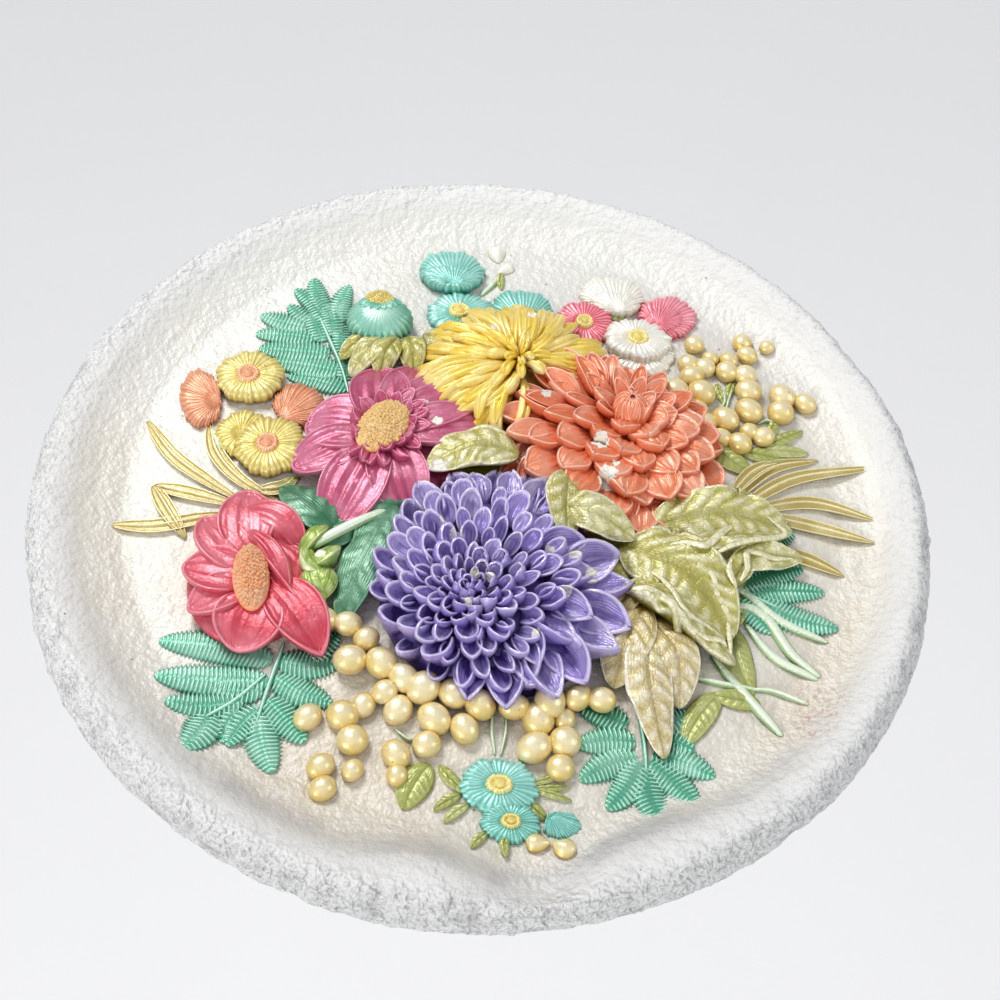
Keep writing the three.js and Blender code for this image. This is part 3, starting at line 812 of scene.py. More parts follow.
@dataclass(frozen=True)
class PearlPaint:
    """Pearly paint over plaster: painted shade and pooled paint in hollows, wear and painted highlight on
    edges.

    Attributes:
        name: the finish's own name.
        body: colour of the open faces.
        deep: colour of the painted shade in hollows, at roots and on undersides, where paint also pools.
        light: colour of the worn edges, the painted highlights and the painted pearly sheen.
        pearl: how metallic the paint is.
        edge: how strongly edges are lightened.
        brush: distance between the fine furrows along a form, in millimetres.
        furrow: depth of those furrows, in millimetres.
        roughness: how matt the paint is.
        net: width of the meshes in a sunk net of veins, in millimetres, or 0 for none.
    """

    name: str
    body: Colour
    deep: Colour
    light: Colour
    pearl: float = 0.25
    edge: float = 0.6
    brush: float = 1.1
    furrow: float = 0.04
    roughness: float = 0.37
    net: float = 0.0

    def material(self) -> bpy.types.Material:
        """The finish as a material."""
        shader = Shader(self.name)
        body, deep, light = (colour(*paint) for paint in (self.body, self.deep, self.light))
        edge, shade, bare = shader.note("tone")
        _, across, seed = shader.note("lay")
        hollow, proud, _ = shader.note("stand")
        patches = shader.noise(9.0, 3.0)
        grain = shader.noise(0.9, 2.0)
        # Painted shade in hollows, at roots and under forms, partly paint that pools there.
        pooled_paint_and_shade = (shade * 0.4 + hollow * 0.95 + (patches - 0.5) * 0.35).step(0.05, 0.9)
        tint = shader.mix(pooled_paint_and_shade, body, deep)
        # Painted pearly sheen: patches mixed towards the light colour, more on proud places.
        pearl = ((patches - 0.42) * 1.6 + (seed - 0.5) * 0.5 + proud * 0.25).step(0.0, 1.0) * 0.55
        tint = shader.mix(pearl, tint, light)
        # Edges and proud places painted lighter, partly as worn paint and partly as painted highlight.
        rubbed = (edge * (0.55 + grain * 0.9) + proud * 0.25).step(0.45, 1.05) * self.edge
        tint = shader.mix(rubbed, tint, light)
        chalk = (bare + (grain - 0.5) * 0.5).step(0.38, 0.52)
        dirt = shader.noise(1.6, 3.0, 0.7).step(0.52, 0.72) * 0.75
        plaster = shader.mix(dirt, colour(*PLASTER_WHITE), colour(*PLASTER_GREY))
        specks = (1.0 - shader.cells(5.5).step(0.05, 0.085)) * shader.noise(14.0).step(0.5, 0.62)
        tint = shader.mix(chalk, tint, plaster)
        tint = shader.mix(specks * 0.7, tint, tuple(0.25 * value for value in deep))
        shader.feed("Metallic", (1.0 - chalk) * self.pearl)
        shader.feed("Roughness", chalk * (0.85 - self.roughness) + (self.roughness - 0.07 + grain * 0.14))
        shader.feed("Coat Weight", (1.0 - chalk) * 0.28)
        shader.feed("Coat Roughness", 0.28)
        lines = (across * (2 * math.pi / self.brush) + shader.noise(3.0) * 7.0).sine()
        skin = lines * self.furrow + grain * 0.1 + shader.noise(2.4, 3.0) * 0.32 - chalk * 0.35
        if self.net:
            veins = 1.0 - shader.meshes(self.net).step(0.01, 0.15)
            tint = shader.mix(veins * grain * 0.5, tint, deep)
            skin = skin - veins * 0.16
        shader.feed("Base Color", tint)
        shader.bump(skin, 1.0, 0.8)
        return shader.material


@dataclass(frozen=True)
class DishPaint:
    """Pearly white over rough plaster: painted sheen in streaks, beige painted shade towards the bottom and
    sides, grey painted shade on the inner slope and in the pits of the crust, grey blots and dark specks
    along the rim.

    The colours are those of its coats, from the ground up.
    """

    name: str = "dish_white"
    white: Colour = (219, 219, 215)
    beige: Colour = (208, 198, 181)
    pearl: Colour = (233, 232, 228)
    rim: Colour = (225, 225, 225)
    slope_shade: Colour = (150, 151, 158)
    pit_shade: Colour = (120, 119, 119)
    blot: Colour = (170, 168, 166)
    dot: Colour = (70, 62, 56)
    soot: Colour = (60, 54, 50)
    rub: Colour = (176, 112, 92)

    def material(self) -> bpy.types.Material:
        """The finish as a material."""
        shader = Shader(self.name)
        rim, sunk, scuff = shader.note("tone")
        _, pit, _ = shader.note("lay")
        beige_shade, slope_shade, wall = shader.note("stand")
        patches, streaks = shader.noise(38.0, 4.0), shader.noise(7.0, 4.0, 0.6)
        grain, crust = shader.noise(0.8, 3.0, 0.6), shader.noise(2.3, 1.2, 0.55)
        fine, lumps = shader.noise(1.35, 0.6, 0.5), shader.noise(5.5, 1.5)
        # Grey painted shade in the pits and low places of the crust.
        pit_shade = (0.46 - fine * 0.65 - crust * 0.35).step(0.0, 0.1) * (wall * 0.2 + rim * 0.06) + sunk * 0.3
        blots = shader.noise(16.0, 2.0).step(0.7, 0.78) * (1.0 - rim)
        dots = (1.0 - shader.cells(9.0).step(0.035, 0.06)) * shader.noise(24.0).step(0.5, 0.6)
        soot = (shader.noise(1.3, 3.0, 0.75) + pit * 0.1).step(0.68, 0.74) * rim
        soot = soot * shader.noise(26.0).step(0.48, 0.62)
        # The coats: beige painted shade towards the bottom and sides, painted pearly sheen in streaks, the
        # rim's white, grey painted shade on the inner slope and in the crust's pits, then grey blots, dark
        # dots, soot specks and a rubbed stain.
        coats = (
            (beige_shade * (0.5 + patches * 0.8), self.beige),
            ((streaks - 0.5) * 1.6 * (1.0 - rim), self.pearl),
            (rim * 0.8, self.rim),
            (slope_shade * (0.2 + streaks * 0.6), self.slope_shade),
            (pit_shade, self.pit_shade),
            (blots * 0.25, self.blot),
            (dots * 0.75, self.dot),
            (soot * 0.85, self.soot),
            (scuff * shader.noise(2.2, 3.0, 0.7).step(0.5, 0.68), self.rub),
        )
        tint = colour(*self.white)
        for share, paint in coats:
            tint = shader.mix(share, tint, colour(*paint))
        shader.feed("Base Color", tint)
        shader.feed("Metallic", (1.0 - rim) * 0.1)
        shader.feed("Roughness", rim * 0.32 + (0.38 + grain * 0.16))
        shader.feed("Coat Weight", (1.0 - rim) * 0.28)
        shader.feed("Coat Roughness", 0.3)
        skin = fine * (wall * 1.3 + rim * 0.25) + crust * (wall * 1.9 + rim * 0.6 + 0.4)
        skin = skin + lumps * (wall * 1.6 + rim * 1.2)
        skin = skin + streaks * 0.8 + shader.noise(2.8, 2.0) * 0.7 * (1.0 - rim) + grain * 0.12
        shader.bump(skin, 1.0, 1.0)
        return shader.material


def added(name: str, data: bpy.types.ID) -> bpy.types.Object:
    """A new object of the scene with these data."""
    made = bpy.data.objects.new(name, data)
    bpy.context.scene.collection.objects.link(made)
    return made


@dataclass
class Piece:
    """One piece of the plaque: its shells, its finish and the bare spots where its paint is chipped off.

    Attributes:
        name: the piece's name.
        finish: its paint.
        shells: what it is made of.
        chips: (u, v, radius) of each bare spot.
        stand: a function that gives the third attribute; hollow and proud are used where it is left out.
    """

    name: str
    finish: "PearlPaint | DishPaint"
    shells: list[Shells]
    chips: Rows = ()
    stand: Callable[[Array], Array] | None = None

    def points(self) -> Array:
        """Every vertex, in plaque millimetres, kept between the wall and the highest point of the cast."""
        points = np.concatenate([shell.points() for shell in self.shells])
        points[:, 2] = np.clip(points[:, 2], 0, HIGHEST)
        return points

    def bare(self, points: Array) -> Array:
        """How bare each point is: 1 in the middle of a chip, falling below 0 beyond its ragged edge."""
        ragged = 1 + 0.4 * noise(points, 1.6, seed=5, octaves=2)
        bare = np.zeros(len(points))
        for u, v, radius in self.chips:
            away = np.hypot(points[:, 0] - u, points[:, 1] - v) / (radius * ragged)
            bare = np.maximum(bare, np.clip(1.5 - away, 0, 1))
        return bare

    def build(self, crevices: "Crevices") -> bpy.types.Object:
        """Makes the mesh, with its attributes, and dresses it.

        Args:
            crevices: height map of all the pieces.

        Returns:
            The finished object, riding on the model's body.
        """
        points = self.points()
        notes = np.concatenate([shell.notes() for shell in self.shells])
        starts = np.cumsum([0] + [len(shell.points()) for shell in self.shells[:-1]])
        faces = np.concatenate([shell.triangles() + start for shell, start in zip(self.shells, starts)])
        bare = self.bare(points) if self.stand is None else notes[:, 2]
        stand = crevices.stand(points) if self.stand is None else self.stand(points)
        mesh = bpy.data.meshes.new(self.name)
        mesh.vertices.add(len(points))
        placed = np.column_stack([points[:, 0], -points[:, 2], points[:, 1]]) * MILLIMETRE
        mesh.vertices.foreach_set("co", placed.astype(np.float32).ravel())
        mesh.loops.add(faces.size)
        mesh.loops.foreach_set("vertex_index", faces.astype(np.int32).ravel())
        mesh.polygons.add(len(faces))
        mesh.polygons.foreach_set("loop_start", np.arange(0, faces.size, 3, dtype=np.int32))
        mesh.update(calc_edges=True)
        mesh.shade_smooth()
        tone, lay = np.column_stack([notes[:, :2], bare]), notes[:, 2:5]
        for name, values in (("tone", tone), ("lay", lay), ("stand", stand)):
            attribute = mesh.attributes.new(name, "FLOAT_VECTOR", "POINT")
            attribute.data.foreach_set("vector", values.astype(np.float32).ravel())
        mesh.materials.append(self.finish.material())
        piece = added(self.name, mesh)
        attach(piece, "root")
        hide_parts(NODE)
        LOG.info("%s: %d shells, %d triangles, from %.1f to %.1f mm out of the wall", self.name,
                 sum(len(s.seed) for s in self.shells), len(faces), points[:, 2].min(), points[:, 2].max())
        return piece


@dataclass
class Crevices:
    """A height map of the relief, which tells how deep or how proud a point lies among its neighbours.

    Its cells are pitch wide. Heights are averaged over a near and a far reach, and a point about full below
    both averages is wholly in a hollow. The paints darken hollows as painted shade and lighten proud places,
    partly as painted highlight.
    """

    pitch: float = 0.6
    near: float = 1.5
    far: float = 4.2
    full: float = 2.4
    size: int = 620
    maps: list[Array] = field(default_factory=list)

    def cell(self, points: Array) -> tuple[Array, Array]:
        """Row and column of each point in the map."""
        index = np.clip(np.round(points[:, :2] / self.pitch).astype(int) + self.size // 2, 0, self.size - 1)
        return index[:, 1], index[:, 0]

    def blurred(self, heights: Array, reach: float) -> Array:
        """The map after three passes of a moving average, both ways; its border keeps its own heights."""
        width = max(1, round(reach / self.pitch))
        soft = heights
        for axis in (0, 1, 0, 1, 0, 1):
            total = np.cumsum(soft, axis=axis)
            ahead, behind = np.roll(total, -width, axis=axis), np.roll(total, width + 1, axis=axis)
            soft = (ahead - behind) / (2 * width + 1)
        inner = slice(3 * width + 3, -3 * width - 3)
        result = heights.copy()
        result[inner, inner] = soft[inner, inner]
        return result

    def measure(self, pieces: list[Piece]) -> None:
        """Takes the highest point in every cell and blurs the map over a near and a far reach."""
        axis = (np.arange(self.size) - self.size // 2) * self.pitch
        u, v = np.meshgrid(axis, axis)
        heights = field_height(u, v)
        for piece in pieces:
            points = piece.points()
            np.maximum.at(heights, self.cell(points), points[:, 2])
        self.maps = [self.blurred(heights, reach) for reach in (self.near, self.far)]

    def stand(self, points: Array) -> Array:
        """Hollow and proud, from 0 to 1, of each point."""
        cell = self.cell(points)
        near, far = (soft[cell] - points[:, 2] for soft in self.maps)
        deep = 0.65 * near / self.full + 0.45 * far / (1.8 * self.full)
        return np.column_stack([np.clip(deep, 0, 1), np.clip(-1.3 * deep, 0, 1), 0 * deep])


@dataclass
class Dish:
    """The dish: a turned profile whose rim wanders a little, with a coarse crust on its outer wall.

    Rings follow the profile from the middle of the face over the rim to the middle of the back. Each point
    moves along the profile's normal by noise: crust on the wall, slow lumps on the whole rim and soft brush
    marks on the field. A short stretch at the bottom of the rim is pressed down, with its inner slope pushed
    outwards and a swelling either side.

    Attributes:
        wobble: how far the rim's outline wanders.
        crust: height of the crust on the outer wall.
        ripple: height of the brush marks on the field.
        inset: share of its radius that is kept, which leaves room for the crust.
        dip: angle of the pressed stretch, whose half width is dip_width.
        swells: (place, width, push) of the swellings, the first two in half widths of the dip.
        scuff: (u, v, radius) of the place where the field's paint is rubbed.
        profile: (radius, height) from the field's border over the rim to the back.
    """

    spokes: int = 900
    wobble: float = 0.8
    crust: float = 0.8
    ripple: float = 0.22
    inset: float = 0.998
    dip: float = 1.562 * math.pi
    dip_width: float = 0.11
    swells: Rows = ((-2.2, 1.0, 2.6), (2.6, 1.5, 2.2))
    scuff: Point = (132.0, -88.0, 14.0)
    profile: Rows = (
        (141, 13), (155, 17), (163, 22), (168, 24), (172, 22.5), (176.5, 17), (178, 11), (172, 3.5), (162, 0),
    )

    def section(self) -> Array:
        """The profile with its corners cut three times, stepped finely where it bends."""
        line = np.array(self.profile, float)
        for _ in range(3):
            start, end = line[:-1], line[1:]
            cut = np.stack([0.75 * start + 0.25 * end, 0.25 * start + 0.75 * end], axis=1).reshape(-1, 2)
            line = np.vstack([line[:1], cut, line[-1:]])
        travelled = np.concatenate([[0], np.cumsum(np.linalg.norm(np.diff(line, axis=0), axis=1))])
        steps = np.concatenate([np.linspace(0, 7, 4), np.arange(8.2, travelled[-1], 0.98)])
        bent = np.column_stack([np.interp(steps, travelled, line[:, k]) for k in range(2)])
        middle, back = (
            np.column_stack([radii, np.full(len(radii), level)])
            for radii, level in ((np.linspace(6, 137, 14), FIELD), ((158.0, 110.0, 50.0), 0.0))
        )
        return np.vstack([middle, bent, back])

    def shove(self, angle: Array) -> Array:
        """How far the inner slope is pushed outwards at an angle: out at the dip, in on both sides."""
        turned = (angle - self.dip) / self.dip_width
        inwards = sum(push * bell(turned, place, width) for place, width, push in self.swells)
        return 8.0 * bell(turned, 0, 1) - inwards

    def shells(self) -> Shells:
        """The dish as one closed shell."""
        section = self.section()
        radius, height = section[:, :1], section[:, 1:]
        angle = turns(self.spokes)[None]
        rim = np.maximum(0, radius / RADIUS - 0.75) / 0.25
        drift = self.wobble * rim * (0.6 * np.sin(3 * angle + 1) + 0.4 * np.sin(7 * angle))
        slope = unit(np.gradient(section, axis=0))
        normal = np.column_stack([-slope[:, 1], slope[:, 0]])
        flat = together(radius * np.cos(angle), radius * np.sin(angle), height)
        front = height > 1
        outer, wall = smooth(152, 168, radius) * front, smooth(167.5, 174, radius) * front
        brushed = together(angle * RADIUS / 3, 0 * angle, radius + height)
        crust = noise(flat, 2.5, 2, 2) * 0.6 + noise(flat, 6.0, 1, 2) * 0.6 + noise(brushed, 2.2, 3, 2) * 0.9
        pits = smooth(0.5, 0.8, noise(flat, 2.6, 9, 1)) * smooth(0.0, 0.5, noise(flat, 28.0, 4, 1))
        lumps = 0.45 * noise(flat, 30.0, 6, 2) * outer
        off = (0.22 * outer + 0.78 * wall) * self.crust * (crust - 0.15) + lumps - 0.8 * pits * outer
        off = off + (1 - outer) * front * self.ripple * noise(brushed, 6.0, 8, 2) * smooth(20, 60, radius)
        turned = (angle - self.dip) / self.dip_width
        pressed = 4.2 * bell(radius, 166, 8) * bell(turned, 0, 1) * smooth(4, 14, height)
        swells = sum(bell(turned, place, width) for place, width, _ in self.swells)
        swollen = 2.2 * bell(radius, 158, 5) * swells
        slope_share = smooth(139, 153, radius) * smooth(178, 158, radius) * front
        grown = radius + drift + normal[:, :1] * off + slope_share * self.shove(angle)
        w = np.clip(height + normal[:, 1:] * off + front * (swollen - pressed), 0, None) * (height > 0)
        grown = self.inset * grown
        rings = together(grown * np.cos(angle), grown * np.sin(angle), w)[None]
        u, v, wide = self.scuff
        scuff = bell(np.hypot(flat[..., 0] - u, flat[..., 1] - v), 0, wide) * (1 - outer) * front
        # Painted shade in the low places of the crust on the rim.
        sunk = (0.3 * outer + 0.7 * wall) * smooth(0.1, 0.9, -crust)
        tone = together(np.maximum(outer, 1 - front), sunk)[None]
        lay = together(scuff, pits * outer)[None]
        return Shells(rings, np.array([[[0, 0, FIELD], [0, 0, 0]]], float), tone, lay, np.zeros(1))

    def stand(self, points: Array) -> Array:
        """Where the field gets beige painted shade, where its inner slope gets grey painted shade and how far
        out a point lies.
        """
        away = np.hypot(points[:, 0], points[:, 1])
        # Beige painted shade, stronger towards the bottom and the sides of the field.
        low = smooth(90, -110, points[:, 1] - 0.3 * np.abs(points[:, 0]))
        beige_shade = (0.2 + 0.8 * low) * smooth(176, 150, away) * (0.7 + 0.6 * noise(points, 46.0, 11, 2))
        turn = np.arctan2(points[:, 1], points[:, 0]) % (2 * np.pi)
        # Grey painted shade along the inner slope at the bottom, strongest at the dip.
        ring = bell(away - 0.9 * self.shove(turn), 156, 5.5) * smooth(-40, -140, points[:, 1])
        ring = ring * (0.75 + 0.5 * bell(turn, self.dip, 0.4))
        slope_shade = np.clip(ring * (0.75 + 0.6 * noise(points, 9.0, 12, 3)), 0, 1)
        front = points[:, 2] > 1
        return np.column_stack([np.clip(beige_shade, 0, 1) * front, slope_shade * front, smooth(165, 174, away)])

    def piece(self) -> Piece:
        """The dish as a piece."""
        return Piece("dish", DishPaint(), [self.shells()], stand=self.stand)


@dataclass
class PurpleDahlia:
    """The purple dahlia: incurved petals crowded spirally round an eye that looks down to the left.

    Petals grow outwards with a power of their reach and stand steeply near the eye. At the right and along
    the top they give way to large folded ones, each a row of tip, width, length, direction and bank.
    """

    head: Head = Head((-1, -59), (9, -47), (48, 49), 17, 33)
    count: int = 144
    growth: float = 0.8
    spread: float = 51.0
    large: Rows = (
        (51, -31, 22, 17, 26, 30, 0.5), (58, -45, 20, 16, 28, 8, -0.3), (58, -60, 20, 17, 28, -10, 0.4),
        (53, -74, 20, 17, 28, -28, -0.3), (44, -86, 20.5, 16, 27, -48, 0.3),
        (32, -94, 20.5, 15, 25, -66, -0.2), (17, -99, 19.5, 14, 23, -80, 0.2),
        (2, -97, 19.5, 12, 20, -95, -0.1), (24, -90, 23, 12, 20, -72, 0.2), (38, -30, 27, 13, 20, 25, 0.3),
        (43, -45, 26, 13, 20, 5, -0.2), (43, -61, 25.5, 13, 20, -12, 0.3),
        (36, -74, 25.5, 13, 20, -38, -0.3), (26, -83, 25, 12, 19, -60, 0.2),
        (23, -3, 23, 15, 18, 75, 0.1), (9, 0, 22.5, 11, 16, 92, 0.1), (-4, -2, 22, 10, 15, 105, 0),
        (31, -6, 18.5, 14, 20, 62, 0.2), (17, 1, 18, 14, 20, 80, -0.2), (3, 2, 18, 14, 20, 97, 0.2),
        (-12, -1, 18, 14, 20, 113, -0.2), (-26, -8, 18.5, 13, 19, 128, 0.1),
    )

    def small(self) -> Petals:
        """The incurved petals, each a golden angle on from the last."""
        number = np.arange(self.count)
        first, second, third = scatter(self.count, 4)
        reach = np.minimum(1.06 * ((number + 0.7) / self.count) ** self.growth, 1.0) * (1 + 0.035 * second)
        angle = number * GOLDEN_ANGLE + 0.4 + 0.12 * first * (1 - 0.5 * reach)
        around = np.degrees((angle + np.pi) % (2 * np.pi) - np.pi)
        kept = (reach < 0.72) | (np.abs(around - 6) > 62)
        kept &= (reach < 0.86) | (np.abs(around - 85) > 24)
        number, angle, reach = number[kept], angle[kept], reach[kept]
        first, second, third = first[kept], second[kept], third[kept]
        apart = spacing(self.count, self.growth, self.spread, reach)
        width = apart * (0.94 + 0.2 * third)
        length = apart * (1.45 + 0.26 * first) + 1.5
        rise = np.radians(54 - 42 * smooth(0.05, 0.9, reach) + 11 * second)
        root, tip = self.head.standing(angle, reach, 3.0 + 0.7 * third, length, rise)
        return Petals(
            root, tip, width, arch=0.1 * length, bow=0.15 * width * third, bank=0.5 * first, lip=0.26,
            cup=(0.27 + 0.06 * second) * width, rim=0.3 + 0.06 * width, curl=(0.16 + 0.1 * first) * width,
            waist=0.42, point=0.04 + 0.2 * np.abs(second), body=0.46 * width + 1.6, groove=0.22,
            crease=0.05 * width, spokes=26,
        )

    def broad(self) -> Petals:
        """The large folded petals."""
        rows = np.array(self.large, float)
        tip, (width, length, way, bank) = rows[:, :3], rows[:, 3:].T
        root = tip - (0.93 * heading(np.radians(way)) + [0, 0, 0.02]) * length[:, None]
        # shade paints these large petals darker towards their roots, as painted shade.
        return Petals(
            root, tip, width, arch=3.2, bow=1.2 * bank, bank=1.3 * bank, cup=0.25 * width, rim=0.6, curl=0.9,
            waist=0.35, point=0.34, body=0.3 * width + 3, striae=9.0, groove=0.32, crease=0.13 * width,
            wave=0.7, shade=0.45,
        )

    def piece(self) -> Piece:
        """The dahlia as a piece."""
        paint = PearlPaint(
            "purple_pearl", (150, 132, 200), (90, 68, 148), (222, 214, 242), edge=0.75, furrow=0.06,
        )
        chips = (
            (-13, -30, 2.2), (-8, -36, 2.2), (27, -38, 2.0), (36, -38, 2.4), (43, -45, 2.4), (34, -55, 2.0),
            (0, -54, 2.0), (6, -54, 1.6), (24, -74, 1.6), (-1, -66, 1.4),
        )
        shells = [self.small().shells(), self.broad().shells(), self.head.bed(4.0)]
        return Piece("purple_dahlia", paint, shells, chips)


@dataclass
class OrangeDahlia:
    """The orange dahlia: broad pointed petals below and narrow ones above, round a closed bud."""

    head: Head = Head((55, 36), (48, 24), (48, 46), 17, 31)
    count: int = 62
    growth: float = 0.62
    spread: float = 47.0
    bud_leaves: int = 12
    narrow: Rows = (
        (24, 68, 26, 8.5, 25, 125), (13, 60, 25, 9, 26, 140), (37, 66, 27, 8, 22, 110),
        (4, 48, 23, 9.5, 25, 158), (47, 67, 26, 7.5, 20, 96), (31, 61, 29.5, 7.5, 20, 118),
        (19, 53, 28.5, 8.5, 22, 136), (1, 33, 22, 11, 24, 175), (9, 41, 26, 9, 22, 160),
    )
    lower: Rows = (
        (74.8, -15.7, 20.5, 14, 19, -68), (63.3, -20.2, 19, 10.5, 15, -60), (82.6, -11.1, 20.5, 12, 17, -71),
        (63.9, -6.3, 24.5, 15, 19, -55), (40.6, -10.9, 20.5, 13, 18, -83), (58, -13, 21.5, 12, 16, -60),
        (89.4, 2, 21, 12, 16, -40), (50, -15.5, 20, 12.5, 16, -76), (28, -4, 21, 12, 18, -118),
        (12, 3, 20.5, 12, 18, -145), (95, 31, 18, 13, 19, 8), (91.5, 43, 18, 13, 19, 24),
        (85, 54, 18, 13, 19, 40), (76, 62, 18, 13, 19, 54), (66, 67.5, 18, 13, 19, 68),
        (55, 69.5, 18.5, 13, 19, 82), (81, 46, 22, 12, 18, 38), (69, 56.5, 22.5, 12, 18, 60),
    )

    def petals(self) -> Petals:
        """The petals, each a golden angle on from the last."""
        number = np.arange(4, self.count)
        first, second, third = scatter(len(number), 9)
        reach = np.minimum(1.07 * ((number + 0.5) / self.count) ** self.growth, 1.0) * (1 + 0.02 * second)
        angle = number * GOLDEN_ANGLE + 1.1 + 0.07 * first
        apart = spacing(self.count, self.growth, self.spread, reach)
        upper = smooth(-0.1, 0.7, np.sin(angle - 0.45))
        width = apart * (1.4 + 0.12 * third - 0.74 * upper)
        length = apart * (1.6 + 0.5 * upper) + 2
        rise = np.radians(44 - 32 * smooth(0.1, 0.9, reach) + 5 * second)
        root, tip = self.head.standing(angle, reach, 2.8 + 0.5 * third, length, rise)
        return Petals(
            root, tip, width, arch=0.1 * length, bow=0.07 * width * third, bank=0.22 * first,
            cup=(0.24 * upper - 0.09) * width, rim=0.45 + 0.15 * upper, lip=0.13, curl=0.3, waist=0.42,
            point=0.22 + 0.18 * (1 - upper), body=0.3 * width + 2, groove=0.3, crease=0.05 * width,
            wave=0.4, spokes=36,
        )

    def placed(self, rows: tuple, cup: float) -> Petals:
        """Petals given one by one, each a row of tip, width, length and direction."""
        rows = np.array(rows, float)
        tip, (width, length, way) = rows[:, :3], rows[:, 3:].T
        root = tip - heading(np.radians(way)) * length[:, None] - [0, 0, 1.5]
        return Petals(
            root, tip, width, arch=2.4, bow=1.2 * np.sin(way), bank=0.3 * np.sin(3 * way), cup=cup * width,
            rim=0.6, lip=0.15, curl=0.5, waist=0.3, point=0.28, body=0.4 * width + 3, striae=3.0, groove=0.3,
            crease=0.06 * width,
        )

    def bud(self) -> list[Shells]:
        """The closed bud: narrow petals that lean together over a dome."""
        out = heading(turns(self.bud_leaves) + 0.3)
        eye = np.array([*self.head.eye, 30.0])
        root = eye + out * np.array([8.6, 10.0, 0]) - np.array([0, 0, 4.0])
        tip = eye + out * np.array([0.8, 1.0, 0]) + np.array([0, 3.5, 4.6])
        folded = Petals(root, tip, 5.6, arch=2.9, bow=0.5, cup=-0.7, rim=0.55, point=0.2, body=2.6, striae=3,
                        groove=0.25, crease=0.3)
        core = Domes(eye[None] + [0, 1, 0], np.array([[6.2, 7.6, 3.4]]), rings=10, spokes=32)
        return [folded.shells(), core.shells()]

    def piece(self) -> Piece:
        """The dahlia as a piece."""
        paint = PearlPaint("orange_pearl", (226, 126, 84), (204, 84, 30), (252, 200, 178), edge=0.7)
        chips = ((43, 18, 3.2), (47, 3, 3.2), (20, 42, 2.4), (13, 13, 2.6), (50, 8, 1.6))
        petals = [self.petals(), self.placed(self.narrow, 0.16), self.placed(self.lower, -0.06)]
        shells = [*(group.shells() for group in petals), *self.bud(), self.head.bed(5.5)]
        return Piece("orange_dahlia", paint, shells, chips)


@dataclass
class MauveDahlia:
    """The mauve dahlia: nine broad petals and a crown of short ones about the eye."""

    eye: tuple[float, float] = (-43.0, 17.0)
    tips: Rows = (
        (-50, 54, 24, 19), (-34, 58, 17, 18), (-18, 53, 18, 18), (-6, 46, 20, 20), (-1, 29, 20, 20),
        (-28, -18, 23, 18), (-57, -29, 24, 18), (-77, -2, 19, 18), (-75, 22, 27, 18),
    )

    def broad(self) -> Petals:
        """The broad petals: each row of tips is a place, a width and a height."""
        rows = np.array(self.tips, float)
        eye = np.array(self.eye)
        root = np.column_stack([eye + (rows[:, :2] - eye) * 0.05, np.full(len(rows), 22.0)])
        tip = np.column_stack([rows[:, :2], rows[:, 3]])
        return Petals(
            root, tip, rows[:, 2] + 1.5, arch=3.6, cup=0.5, rim=0.5, lip=0.07, curl=-0.8, waist=0.12,
            point=0.04, body=6.5, groove=0.5, crease=0.5, wave=0.3, spokes=66,
        )

    def crown(self) -> Petals:
        """Two rows of short pointed petals about the eye."""
        number = np.arange(30)
        angle = number * GOLDEN_ANGLE
        number = number[(number < 14) | (np.cos(angle + 0.6) > -0.1)]
        angle = number * GOLDEN_ANGLE
        out = np.where(number < 14, 15.0, 21.5) + 2.4 * np.sin(2.4 * number)
        far = np.column_stack([out * np.cos(angle) * 0.86, out * np.sin(angle) * 1.04])
        root = np.column_stack([np.array(self.eye) + far * 0.35, np.full(len(number), 23.0)])
        tip = np.column_stack([np.array(self.eye) + far, np.where(number < 14, 27.8, 26.0)])
        return Petals(
            root, tip, 6.2, arch=1.2, bow=1.2 * np.sin(3.7 * number), cup=-0.2, rim=0.35, curl=0.9, waist=0.5,
            point=0.3, body=4.5, striae=2.0, groove=0.3, bank=0.6 * np.sin(5.1 * number),
        )

    def piece(self) -> Piece:
        """The petals as a piece."""
        paint = PearlPaint("mauve_pearl", (184, 76, 112), (142, 32, 72), (232, 160, 184), edge=0.5, brush=2.2)
        bed = mound((-40, 18, 15), (31, 33, 6.0), spokes=60)
        shells = [self.broad().shells(), self.crown().shells(), bed]
        return Piece("mauve_dahlia", paint, shells, ((-22, 24, 2.2), (-28, 33, 1.2)))


